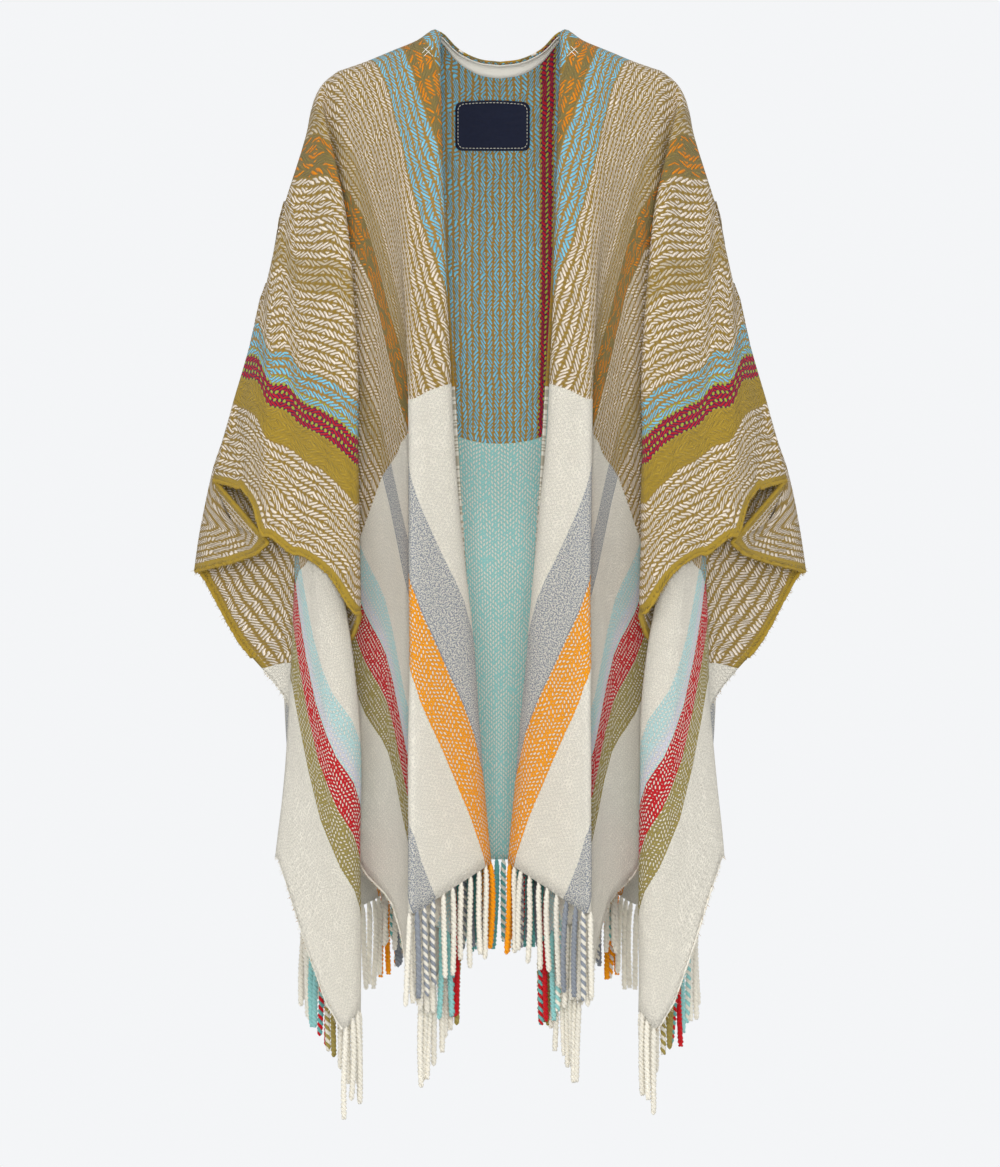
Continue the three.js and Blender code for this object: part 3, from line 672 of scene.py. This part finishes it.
class Graph:
    """The nodes of one material."""

    def __init__(self, name):
        self.material = bpy.data.materials.new(name)
        self.material.use_nodes = True
        self.tree = self.material.node_tree
        self.tree.nodes.clear()

    def node(self, kind, settings=None, inputs=None, output=0):
        """Adds a node of a type, with its settings first and then its sockets' values or links."""
        made = self.tree.nodes.new(kind)
        for key, value in (settings or {}).items():
            if key == "stops":
                self.set_stops(made.color_ramp, value)
            else:
                setattr(made, key, value)
        for key, value in (inputs or {}).items():
            if isinstance(value, Value):
                self.tree.links.new(value.socket, made.inputs[key])
            else:
                made.inputs[key].default_value = value
        return Value(self, made.outputs[output]) if made.outputs else None

    @staticmethod
    def set_stops(ramp, stops):
        """Fills a ramp with (place, colour) stops that change at once."""
        ramp.interpolation = "CONSTANT"
        while len(ramp.elements) < len(stops):
            ramp.elements.new(1)
        for element, (place, tint) in zip(ramp.elements, stops):
            element.position = place
            element.color = (*tint, 1)

    def math(self, operation, a, b=0.0):
        return self.node("ShaderNodeMath", {"operation": operation}, {0: a, 1: b})

    def attribute(self, name, output="Fac"):
        return self.node("ShaderNodeAttribute", {"attribute_name": name}, output=output)

    def vector(self, x, y):
        return self.node("ShaderNodeCombineXYZ", inputs={"X": x, "Y": y})

    def noise(self, place, scale, detail=2.0, roughness=0.5):
        return self.node("ShaderNodeTexNoise", inputs={
            "Vector": place, "Scale": scale, "Detail": detail, "Roughness": roughness})

    def blend(self, a, b, factor):
        """A colour between two, by a factor."""
        return self.node("ShaderNodeMix", {"data_type": "RGBA"}, {0: factor, 6: a, 7: b}, output=2)

    def shade(self, tint, factor):
        """A colour made lighter or darker by a factor."""
        start = tint if isinstance(tint, Value) else tint[:3]
        return self.node("ShaderNodeVectorMath", {"operation": "SCALE"}, {0: start, "Scale": factor})

    def finish(self, tint, roughness, height=None, depth=0.0, sheen=0.12):
        """Ends the graph in a matt cloth shader with an optional bump of a depth in millimetres."""
        inputs = {"Base Color": tint, "Roughness": roughness, "Sheen Weight": sheen,
                  "Sheen Roughness": 0.5, "Specular IOR Level": 0.2}
        if height is not None:
            inputs["Normal"] = self.node("ShaderNodeBump", inputs={
                "Strength": 1.0, "Distance": depth * MM, "Height": height})
        shader = self.node("ShaderNodeBsdfPrincipled", inputs=inputs)
        self.node("ShaderNodeOutputMaterial", inputs={"Surface": shader})
        return self.material


def rgba(tint):
    return (*tint, 1)


def stripe_ramp(graph, yarns, place, key):
    """The yarn of the stripe at a distance from the middle."""
    stops = [(row["from"] / HALF_WIDTH, tuple(getattr(yarns, row[key]))) for row in STRIPES]
    return graph.node("ShaderNodeValToRGB", {"stops": stops}, {"Fac": place / HALF_WIDTH})


def band(place, key, yarn):
    """1 inside the stripes of one yarn and 0 outside them."""
    ends = [row["from"] for row in STRIPES[1:]] + [HALF_WIDTH]
    return sum((place > row["from"]) * (place < end) for row, end in zip(STRIPES, ends)
               if row[key] == yarn)


def herringbone(graph, across, along, weave):
    """Columns of slanted floats: some columns lean one way and as many the other, and the leans change
    over after some rows. Gives the distance from a float's middle, 1 at its rim, its random number and
    its column's middle."""
    width, pitch, slope = weave["column"], weave["pitch"], weave["slope"]
    column = (across / width).floor()
    beside = across - (column + 0.5) * width
    block = (along / (pitch * weave["rows"])).floor()
    lean = 1 - 2 * (((column / weave["columns"]).floor() + block) % 2)
    level = along / pitch - lean * (beside * slope / pitch + column * weave["step"])
    row = level.floor()
    crosswise = (level - row - 0.5) * (pitch / math.hypot(1, slope))
    a, b = beside / weave["half_width"], crosswise / weave["half_thickness"]
    chance = graph.node("ShaderNodeTexWhiteNoise", {"noise_dimensions": "2D"},
                        {"Vector": graph.vector(column, row)}, output="Value")
    return (a * a + b * b).root(), chance, (column + 0.5) * width


def knots(across, along, weave):
    """The distance from the weft's knots between the columns, 1 at their rim."""
    aside = ((across / weave["column"] + 0.5) % 1 - 0.5) * weave["column"] / KNOT_WIDTH
    between = ((along / weave["pitch"]) % 1 - 0.5) * weave["pitch"] / KNOT_HEIGHT
    return (aside * aside + between * between).root()


def upper_wool(graph, yarns, across, along, rear, fine, fibre):
    """The wool with olive weft: its colour and the height of its floats."""
    distance, chance, middle = herringbone(graph, across, along, UPPER_WEAVE)
    stroke = 1 - (distance + (fibre - 0.5) * 0.6).smooth(0.8, 1.08)
    knot = 1 - (knots(across, along, UPPER_WEAVE) + (fibre - 0.5) * 0.6).smooth(0.75, 1.15)
    place = abs(middle)
    yarn = stripe_ramp(graph, yarns, place, "yarn")
    ground = stripe_ramp(graph, yarns, place, "ground")
    red_band = (middle > BACK_RED_FROM) * (middle < BACK_RED_TO) * rear
    yarn = graph.blend(yarn, rgba(yarns.red), red_band)
    slate = band(place, "yarn", "orange") * (chance > 1 - SLATE_FLOATS)
    yarn = graph.blend(yarn, rgba(yarns.slate), slate)
    reddish = graph.math("MAXIMUM", red_band, band(place, "yarn", "red"))
    accent = graph.blend(ground, rgba(yarns.lime), reddish)
    ground = graph.blend(ground, rgba(yarns.purple), red_band)
    base = graph.shade(graph.blend(ground, yarn, 0.08), 0.78 + 0.3 * fine)
    tint = graph.blend(graph.blend(base, accent, knot), yarn, stroke)
    tint = graph.shade(tint, 0.82 + 0.26 * chance * stroke + 0.22 * fibre)
    return tint, 1 - distance.smooth(0.1, 1.2)


def lower_wool(graph, yarns, place, across, along, fine, fibre, grain):
    """The felted wool with cream weft, flecked where it is striped: its colour, with painted shade in a
    ring around each fleck, and its height.
    """
    distance, chance, _ = herringbone(graph, across, along, LOWER_WEAVE)
    speck = distance + (fibre - 0.5) * 0.6 + (chance < MISSING_FLECKS) * 0.6
    # A ring around each fleck: a groove in the bump, and painted shade that darkens the felt's colour
    # there
    groove_shade = speck.smooth(0.95, 1.2) * (1 - speck.smooth(1.25, 1.8))
    yarn = stripe_ramp(graph, yarns, place, "low_yarn")
    lilac = place.smooth(LILAC_FROM, LILAC_FULL) * band(place, "low_yarn", "ice")
    yarn = graph.blend(yarn, rgba(yarns.lilac), lilac * 0.8)
    greyish = band(place, "low_yarn", "grey")
    fleck = 1 - (speck - band(place, "low_yarn", "aqua") * 0.22).smooth(0.8, 1.15)
    pepper = grain.smooth(0.45, 0.56) * greyish
    # Painted shade: the felt is darker in the ring around each fleck
    felt = graph.shade(yarn, 1.05 - 0.24 * groove_shade)
    felt = graph.blend(felt, rgba(yarns.cream), fleck * (0.95 - greyish * 0.75))
    felt = graph.blend(felt, rgba(yarns.cream), pepper * 0.75)
    # Darker where the fine and fibre noises are low: partly uneven tone of the felt, partly painted
    # shade in the low spots of the nap, which the same noises leave low in the bump
    return graph.shade(felt, 0.8 + 0.14 * fine + 0.12 * grain + 0.14 * fibre), 1 - groove_shade


def wool_material(yarns):
    """The whole blanket: stripes, olive and cream weft, herringbone floats and a felted nap."""
    graph = Graph("striped_wool")
    across, along = graph.attribute("across"), graph.attribute("along")
    below, rear = graph.attribute("below"), graph.attribute("rear")
    inward = graph.attribute("inward")
    place = graph.vector(across, along)
    sway = graph.noise(place, 0.04, 2.0)
    fine = graph.noise(place, 0.45, 3.0, 0.6)
    fibre = graph.noise(graph.vector(across * 1.5, along * 0.8), 1.3, 2.0, 0.7)
    grain = graph.noise(place, 0.62, 1.5)

    near = abs(across).smooth(*SLEEVE_END) * (1 - along.smooth(*SLEEVE_DROP))
    side = 1 - 2 * (across < 0)
    straight = across + near * (side * (HALF_WIDTH - inward) - across)
    wobble = straight + (sway - 0.5) * 6.0 + (fine - 0.5) * 1.6
    warped = along + (sway - 0.5) * 9.0 + (fibre - 0.5) * 1.6
    upper, float_height = upper_wool(graph, yarns, wobble, warped, rear, fine, fibre)
    soft = across + (sway - 0.5) * 2.0 + (fine - 0.5) * 1.0
    from_middle = abs(across + (fine - 0.5) * 1.5)
    lower, felt_height = lower_wool(graph, yarns, from_middle, soft, warped, fine, fibre, grain)

    selvedge = 1 - (inward + (fine - 0.5) * 3.0).smooth(*SELVEDGE)
    upper = graph.blend(upper, graph.shade(rgba(yarns.moss), 0.8 + 0.4 * fibre), selvedge)
    changed = (below + (fine - 0.5) * 2.0).smooth(-0.4, 0.4)
    tint = graph.blend(upper, lower, changed)
    dots = graph.node("ShaderNodeTexWhiteNoise", {"noise_dimensions": "1D"},
                      {"W": (along / DOT_PITCH).floor()}, output="Value")
    serged = graph.blend(rgba(yarns.ochre), rgba(yarns.cream), changed)
    serged = graph.blend(serged, rgba(yarns.slate), (dots > 0.5) * 0.55)
    tint = graph.blend(tint, serged, (abs(across) < SLIT_EDGE) * (1 - rear))

    height = float_height * (1 - changed) + felt_height * changed * 0.3 + fibre * 0.6
    height = height + fine * (0.35 + 0.75 * changed)
    return graph.finish(tint, 0.93, height, 1.6)


def yarn_material():
    """Twisted wool in the colour that each vertex carries, with fibres along it."""
    graph = Graph("twisted_yarn")
    place = graph.node("ShaderNodeTexCoord", output="Object")
    fuzz = graph.noise(place, 900.0, 3.0, 0.7)
    tint = graph.shade(graph.attribute("tint", "Color"), 0.84 + 0.3 * fuzz)
    return graph.finish(tint, 0.95, fuzz, 0.6)


def tape_material(yarns):
    """A cream cotton tape in fine twill."""
    graph = Graph("cream_tape")
    across, along = graph.attribute("across"), graph.attribute("along")
    ribs = graph.math("PINGPONG", across + along, 0.6) / 0.6
    soft = graph.noise(graph.vector(across, along), 0.4)
    tint = graph.shade(rgba(yarns.tape), 0.93 + 0.05 * ribs + 0.06 * soft)
    return graph.finish(tint, 0.9, ribs, 0.15)


def patch_material(yarns):
    """A bare navy patch in close satin weave."""
    graph = Graph("navy_patch")
    place = graph.node("ShaderNodeTexCoord", output="Object")
    parts = graph.node("ShaderNodeSeparateXYZ", inputs={"Vector": place}, output="Z")
    ribs = graph.math("PINGPONG", parts, 0.0005) / 0.0005
    soft = graph.noise(place, 260.0, 3.0)
    tint = graph.shade(rgba(yarns.navy), 0.7 + 0.35 * ribs + 0.5 * soft)
    return graph.finish(tint, 0.62, ribs + soft, 0.25, sheen=0.1)


def stage_material():
    """Pale matt paper."""
    graph = Graph("pale_paper")
    return graph.finish((0.86, 0.865, 0.875, 1), 0.9, sheen=0.0)


def dress(piece, material, nodes):
    """Gives a piece its finish and its body, and hides the solids that it stands for."""
    piece.data.materials.append(material)
    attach(piece, "root")
    if nodes:
        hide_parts(*nodes)


def hem_of(rows, side):
    """The hem from the wearer's right to the left: its points, and the directions down the cloth."""
    keep = rows[-1, :, 4] > HEM - 0.5
    half = sided(rows, side)
    at = half[-1, keep]
    down = at[:, :3] - half[-5, keep, :3]
    down /= np.linalg.norm(down, axis=1)[:, None]
    order = slice(None, None, -1) if side < 0 else slice(None)
    return at[order], down[order]


def hem_at(hem, u):
    """The hem's place and direction at a distance from the middle."""
    places, downs = hem
    at = np.array([np.interp(u, places[:, 3], places[:, k]) for k in range(3)])
    down = np.array([np.interp(u, places[:, 3], downs[:, k]) for k in range(3)])
    return at, down / np.linalg.norm(down)


def strand_tints(yarns, u, rear, chance):
    """The colours of a strand's two plies, from the stripe that it continues."""
    row = [stripe for stripe in STRIPES if stripe["from"] <= abs(u)][-1]
    key = {"ice": "aqua", "aqua": "teal"}.get(row["low_yarn"], row["low_yarn"])
    first = Vector(getattr(yarns, key))
    second = first if chance.random() < 0.62 else Vector(yarns.cream)
    if rear and BACK_RED_FROM - 8 < u < BACK_RED_TO + 4:
        first = second = Vector(yarns.scarlet)
    if row["low_yarn"] == "scarlet":
        second = Vector(yarns.teal if chance.random() < 0.3 else yarns.scarlet)
    return [tuple(tint * chance.uniform(0.9, 1.03)) for tint in (first, second)]


def add_strand(pile, at, down, cloth, tints, chance):
    """One strand of two twisted plies that leaves along the cloth and hangs down."""
    reach = cloth.strand_length / MM * chance.uniform(0.86, 1.04)
    ply = cloth.ply / MM
    lean = Vector((chance.uniform(-0.05, 0.05), chance.uniform(-0.05, 0.05), -1)).normalized()
    curl = chance.uniform(-2.4, 2.4)
    spin = chance.uniform(0, math.tau)
    turns = reach / TWIST_PITCH
    centre, middle = np.array(at) - down * 2, []
    for n in range(STRAND_STEPS + 1):
        t = n / STRAND_STEPS
        middle.append(centre + np.array((curl * math.sin(t * math.pi), 0.5 * curl * math.sin(t * 4), 0)))
        plumb = min(t * reach / PLUMB_AFTER, 1)
        heading = mix(np.array(down), np.array(lean), plumb)
        centre = centre + heading / np.linalg.norm(heading) * reach / STRAND_STEPS
    for half, tint in enumerate(tints):
        path, radii = [], []
        for n, point in enumerate(middle):
            t = n / STRAND_STEPS
            angle = spin + math.tau * turns * t + math.pi * half
            away = ply * 0.78 * min(1, 0.25 + t * 6)
            path.append(point + away * np.array((math.cos(angle), math.sin(angle), 0)))
            radii.append(ply * min(1, 0.55 + t * 6) * (1 if t < 0.97 else 0.72))
        pile.tube(path, radii, PLY_SIDES, tint)


def depth_at(rows, x, z):
    """The y of one sheet's nearest inner point to a place seen from the front."""
    flat = rows.reshape(-1, 5)
    best = np.argmin(np.hypot(flat[:, 0] - x, flat[:, 2] - z))
    j, i = divmod(int(best), rows.shape[1])
    j, i = min(max(j, 1), rows.shape[0] - 2), min(max(i, 1), rows.shape[1] - 2)
    return rows[j, i, 1]


def label_outline(width, height):
    """The patch's outline from its top middle, with round corners and a slightly arched top."""
    right, left = width / 2 - LABEL_CORNER, -width / 2 + LABEL_CORNER
    top, bottom = -LABEL_CORNER - LABEL_ARCH, -height + LABEL_CORNER
    outline = []
    for quarter, (x, z) in enumerate(((right, top), (left, top), (left, bottom), (right, bottom))):
        for k in range(CORNER_STEPS + 1):
            angle = (quarter + k / CORNER_STEPS) * math.pi / 2
            outline.append((x + LABEL_CORNER * math.cos(angle), z + LABEL_CORNER * math.sin(angle)))
    outline = evenly(outline + outline[:1], OUTLINE_POINTS)[:-1]
    return [(x, z + (LABEL_ARCH * (1 - (2 * x / width) ** 2) if z > -height / 2 else 0))
            for x, z in outline]


def patch_mesh(outline, height, place):
    """The patch as two layers of rings around its middle, joined at the rim."""
    points, faces = [], []
    for lift, bevel in zip(LABEL_LIFTS, (LABEL_BEVEL, -LABEL_BEVEL)):
        for ring in range(LABEL_RINGS):
            share = 1 - ring / LABEL_RINGS
            for x, z in outline:
                point = place(x * share, -height / 2 + (z + height / 2) * share, lift)
                points.append((point[0], point[1] + (0 if ring else bevel), point[2]))
        points.append(place(0, -height / 2, lift))
    count = len(outline)
    layer = LABEL_RINGS * count + 1
    for base, turned in ((0, False), (layer, True)):
        for k in range(count):
            n = (k + 1) % count
            for ring in range(LABEL_RINGS - 1):
                a, b = base + ring * count + k, base + ring * count + n
                quad = (a, a + count, b + count, b)
                faces.append(quad[::-1] if turned else quad)
            a, b = base + (LABEL_RINGS - 1) * count + k, base + (LABEL_RINGS - 1) * count + n
            tri = (a, base + layer - 1, b)
            faces.append(tri[::-1] if turned else tri)
    faces += [(k, (k + 1) % count, layer + (k + 1) % count, layer + k) for k in range(count)]
    mesh = bpy.data.meshes.new("label_patch")
    mesh.from_pydata((np.array(points) * MM).tolist(), [], faces)
    return mesh


def label_stitches(outline, height, place, tint):
    """A line of short stitches inside the patch's rim."""
    pile = MeshPile()
    ring = [(x * 0.93, -height / 2 + (z + height / 2) * 0.90) for x, z in outline]
    ring.append(ring[0])
    lengths = np.concatenate([[0], np.cumsum([math.dist(a, b) for a, b in zip(ring, ring[1:])])])
    stitches = int(lengths[-1] / STITCH_PITCH)
    last = len(STITCH_RADII) - 1
    for n in range(stitches):
        path = []
        for k in range(last + 1):
            run = (n + 0.12 + 0.64 * k / last) / stitches * lengths[-1]
            x = np.interp(run, lengths, [p[0] for p in ring])
            z = np.interp(run, lengths, [p[1] for p in ring])
            path.append(place(x, z, STITCH_LIFT + 0.35 * math.sin(math.pi * k / last)))
        pile.tube(path, STITCH_RADII, 5, tint)
    return pile.build("label_stitches")


def add_lamp(name, place, size, power, target):
    """An area lamp that faces a point and that the camera doesn't see."""
    light = bpy.data.lights.new(name, "AREA")
    light.shape, light.energy = "RECTANGLE", power
    light.size, light.size_y = size
    lamp = bpy.data.objects.new(name, light)
    lamp.location = place
    lamp.rotation_euler = (Vector(target) - Vector(place)).to_track_quat("-Z", "Y").to_euler()
    lamp.visible_camera = False
    bpy.context.scene.collection.objects.link(lamp)


def soft_room():
    """A world that lights the garment softly and shows the camera pale paper."""
    world = bpy.data.worlds.new("soft_room")
    world.use_nodes = True
    nodes, links = world.node_tree.nodes, world.node_tree.links
    glow = nodes["Background"]
    glow.inputs["Color"].default_value = (0.96, 0.98, 1.0, 1)
    glow.inputs["Strength"].default_value = ROOM_LIGHT
    paper = nodes.new("ShaderNodeBackground")
    paper.inputs["Color"].default_value = (0.905, 0.915, 0.93, 1)
    seen, choice = nodes.new("ShaderNodeLightPath"), nodes.new("ShaderNodeMixShader")
    links.new(seen.outputs["Is Camera Ray"], choice.inputs[0])
    links.new(glow.outputs[0], choice.inputs[1])
    links.new(paper.outputs[0], choice.inputs[2])
    links.new(choice.outputs[0], nodes["World Output"].inputs["Surface"])
    return world


class PONCHO_OT_blanket(bpy.types.Operator):
    """Builds the blanket as one shell over the shoulders"""
    bl_idname = "poncho.blanket"
    bl_label = "Blanket"

    def execute(self, context):
        scene = context.scene
        grids = []
        for side in (-1, 1):
            grids.append((with_edge(sided(front_rows, side)), side, 0))
            grids.append((with_edge(sided(back_rows, side)), -side, 1))
        surface = Surface(grids)
        thickness = scene.poncho_cloth.thickness / MM
        piece = surface.shell("blanket_cloth", thickness, waves=ripple(surface.points))
        dress(piece, wool_material(scene.poncho_yarns), ["blanket"])
        return {"FINISHED"}


class PONCHO_OT_tape(bpy.types.Operator):
    """Builds the tape inside the back of the neck"""
    bl_idname = "poncho.tape"
    bl_label = "Neck Tape"

    def execute(self, context):
        scene = context.scene
        reach = scene.poncho_cloth.tape_width / MM
        half = []
        for column in range(BACK_JOIN + 1):
            line = back_rows[:, column]
            run = np.concatenate([[0], np.cumsum(np.linalg.norm(np.diff(line[:, :3], axis=0), axis=1))])
            stops = np.linspace(TAPE_FROM, TAPE_FROM + reach, TAPE_STEPS + 1)
            half.append([[np.interp(stop, run, line[:, k]) for k in range(5)] for stop in stops])
        rows = np.array(half).transpose(1, 0, 2)
        surface = Surface([(sided(rows, side), -side, 1) for side in (-1, 1)])
        piece = surface.shell("neck_tape_cloth", TAPE_THICKNESS, offset=TAPE_LIFT)
        dress(piece, tape_material(scene.poncho_yarns), ["neck_tape"])
        return {"FINISHED"}


class PONCHO_OT_fringe(bpy.types.Operator):
    """Builds the twisted fringe of both fronts and of the back"""
    bl_idname = "poncho.fringe"
    bl_label = "Fringe"

    def execute(self, context):
        scene = context.scene
        cloth, yarns = scene.poncho_cloth, scene.poncho_yarns
        left, right = hem_of(back_rows, 1), hem_of(back_rows, -1)
        back = tuple(np.concatenate([right[k], left[k][1:]]) for k in range(2))
        hems = (("fringe_front_right", hem_of(front_rows, -1), False),
                ("fringe_front_left", hem_of(front_rows, 1), False), ("fringe_back", back, True))
        material = yarn_material()
        for seed, (node, hem, rear) in enumerate(hems):
            chance = random.Random(11 + seed)
            pile = MeshPile()
            first, last = hem[0][0, 3], hem[0][-1, 3]
            count = round((last - first) / (cloth.strand_pitch / MM))
            for n in range(count):
                u = mix(first, last, (n + 0.5) / count)
                at, down = hem_at(hem, u)
                tints = strand_tints(yarns, u, rear, chance)
                add_strand(pile, at, down, cloth, tints, chance)
            piece = pile.build(node.replace("fringe", "strands"))
            dress(piece, material, [node])
        return {"FINISHED"}


class PONCHO_OT_label(bpy.types.Operator):
    """Builds the bare label patch and its stitches"""
    bl_idname = "poncho.label"
    bl_label = "Label Patch"

    def execute(self, context):
        scene = context.scene
        low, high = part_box("label")
        middle, top, bottom = (low.x + high.x) / 2 / MM, high.z / MM, low.z / MM
        width, height = (high.x - low.x) / MM, top - bottom
        half = sided(back_rows[:, :BACK_JOIN], 1)
        back = np.concatenate([sided(half, -1)[:, :0:-1], half], axis=1)
        outline = label_outline(width, height)

        def place(x, z, lift):
            """A point in front of the back, from the patch's top middle."""
            return middle + x, depth_at(back, middle + x, top + z) - lift, top + z

        patch = add_object("label_patch", patch_mesh(outline, height, place))
        dress(patch, patch_material(scene.poncho_yarns), ["label"])
        thread = label_stitches(outline, height, place, tuple(scene.poncho_yarns.thread))
        dress(thread, yarn_material(), [])
        return {"FINISHED"}


class PONCHO_OT_sewing(bpy.types.Operator):
    """Builds the overlocked edges and the tacking crosses at the neck"""
    bl_idname = "poncho.sewing"
    bl_label = "Sewing"

    def execute(self, context):
        yarns = context.scene.poncho_yarns
        chance = random.Random(5)
        pile = MeshPile()
        for side in (-1, 1):
            for rows in (front_rows, back_rows):
                half = sided(rows, side)
                edge = selvedge_of(half)
                change = FRONT_WEFT_CHANGE if rows is front_rows else BACK_WEFT_CHANGE
                above, below = edge[edge[:, 4] < change], edge[edge[:, 4] > change]
                self.overlock(pile, above, OVERLOCK_ABOVE, (yarns.moss, yarns.moss), chance)
                self.overlock(pile, below, OVERLOCK_BELOW, (yarns.cream, yarns.ochre), chance)
        neck_pile = MeshPile()
        half = back_rows[0, :BACK_JOIN]
        neck = np.concatenate([sided(half, -1)[:0:-1], half])
        for n in range(len(neck) - 1):
            tint = tuple(getattr(yarns, NECK_ROLL_YARNS[chance.randrange(len(NECK_ROLL_YARNS))]))
            neck_pile.tube(neck[n:n + 2, :3] + np.array((0, 0, 0.2)), [NECK_ROLL_RADIUS] * 2, 6, tint)
        for side in (-1, 1):
            for start, end in TACKS:
                path = []
                for k in range(TACK_STEPS + 1):
                    x, z = (mix(a, b, k / TACK_STEPS) for a, b in zip(start, end))
                    path.append((side * x, depth_at(front_rows[:, FRONT_JOIN:], x, z) - TACK_LIFT, z))
                neck_pile.tube(path, [TACK_RADIUS] * len(path), 5, tuple(yarns.tape))
        dress(pile.build("sleeve_overlock"), yarn_material(), [])
        dress(neck_pile.build("neck_stitches"), yarn_material(), [])
        return {"FINISHED"}

    @staticmethod
    def overlock(pile, edge, size, tints, chance):
        """A soft rolled edge along the selvedge, with stray fibres."""
        if len(edge) < 2:
            return
        length = np.linalg.norm(np.diff(edge[:, :3], axis=0), axis=1).sum()
        places = np.array(evenly(edge[:, :3], max(int(length / OVERLOCK_STEP), 2)))
        radii = [size * chance.uniform(0.8, 1.2) for _ in places]
        pile.tube(places, radii, 7, tuple(tints[0]))
        for place in places:
            for _ in range(HAIRS):
                way = Vector((chance.gauss(0, 1), chance.gauss(0, 1), chance.gauss(0, 1))).normalized()
                way = np.array(way)
                reach = size + chance.uniform(0.8, 4)
                bend = np.array((0, 0, -chance.uniform(0, 1.5)))
                path = [place + way * size * 0.7, place + way * reach * 0.7 + bend * 0.3,
                        place + way * reach + bend]
                pile.tube(path, HAIR_RADII, 3, tuple(tints[chance.random() < 0.2]))


class PONCHO_OT_stage(bpy.types.Operator):
    """Builds the pale floor, the lamps and the camera"""
    bl_idname = "poncho.stage"
    bl_label = "Stage"

    def execute(self, context):
        scene = context.scene
        rim = [(FLOOR_RADIUS * math.cos(a), FLOOR_RADIUS * math.sin(a), FLOOR_LEVEL)
               for a in np.linspace(0, math.tau, FLOOR_CORNERS, endpoint=False)]
        mesh = bpy.data.meshes.new("paper_floor")
        mesh.from_pydata(rim, [], [tuple(range(FLOOR_CORNERS))])
        floor = add_object("paper_floor", mesh)
        floor.data.materials.append(stage_material())

        for row in LAMPS:
            add_lamp(row["name"], row["place"], (row["side"],) * 2, row["power"], LAMP_TARGET)
        for row in INNER_LAMPS:
            behind = Vector(row["place"]) + Vector((0, 1, 0))
            add_lamp(row["name"], row["place"], INNER_LAMP_SIZE, row["power"], behind)
        scene.world = soft_room()
        scene.view_settings.view_transform = "Standard"

        camera = bpy.data.cameras.new("camera")
        camera.sensor_fit = "VERTICAL"
        camera.sensor_height = CAMERA_SENSOR
        camera.lens = CAMERA_SENSOR * CAMERA_DISTANCE / (PHOTO_HEIGHT * PIXEL * MM)
        view = bpy.data.objects.new("camera", camera)
        view.location = (0, -CAMERA_DISTANCE, (SHOULDER_PIXEL - PHOTO_HEIGHT / 2) * PIXEL * MM)
        view.rotation_euler = (math.pi / 2, 0, 0)
        scene.collection.objects.link(view)
        scene.camera = view
        return {"FINISHED"}


class PONCHO_PT_panel(bpy.types.Panel):
    """Lists the poncho's pieces, colours and sizes"""
    bl_idname = "PONCHO_PT_panel"
    bl_label = "Poncho"
    bl_space_type = "VIEW_3D"
    bl_region_type = "UI"
    bl_category = "Poncho"

    def draw(self, context):
        for operator in OPERATORS:
            self.layout.operator(operator.bl_idname)
        for group in (context.scene.poncho_cloth, context.scene.poncho_yarns):
            column = self.layout.column()
            for name in group.__annotations__:
                column.prop(group, name)


OPERATORS = (PONCHO_OT_blanket, PONCHO_OT_tape, PONCHO_OT_label, PONCHO_OT_fringe, PONCHO_OT_sewing,
             PONCHO_OT_stage)
CLASSES = (YarnSettings, ClothSettings, *OPERATORS, PONCHO_PT_panel)


def register():
    for cls in CLASSES:
        bpy.utils.register_class(cls)
    bpy.types.Scene.poncho_yarns = PointerProperty(type=YarnSettings)
    bpy.types.Scene.poncho_cloth = PointerProperty(type=ClothSettings)


def unregister():
    del bpy.types.Scene.poncho_cloth
    del bpy.types.Scene.poncho_yarns
    for cls in reversed(CLASSES):
        bpy.utils.unregister_class(cls)


def main():
    register()
    for run in (bpy.ops.poncho.blanket, bpy.ops.poncho.tape, bpy.ops.poncho.label, bpy.ops.poncho.fringe,
                bpy.ops.poncho.sewing, bpy.ops.poncho.stage):
        run()


if __name__ == "__main__":
    main()
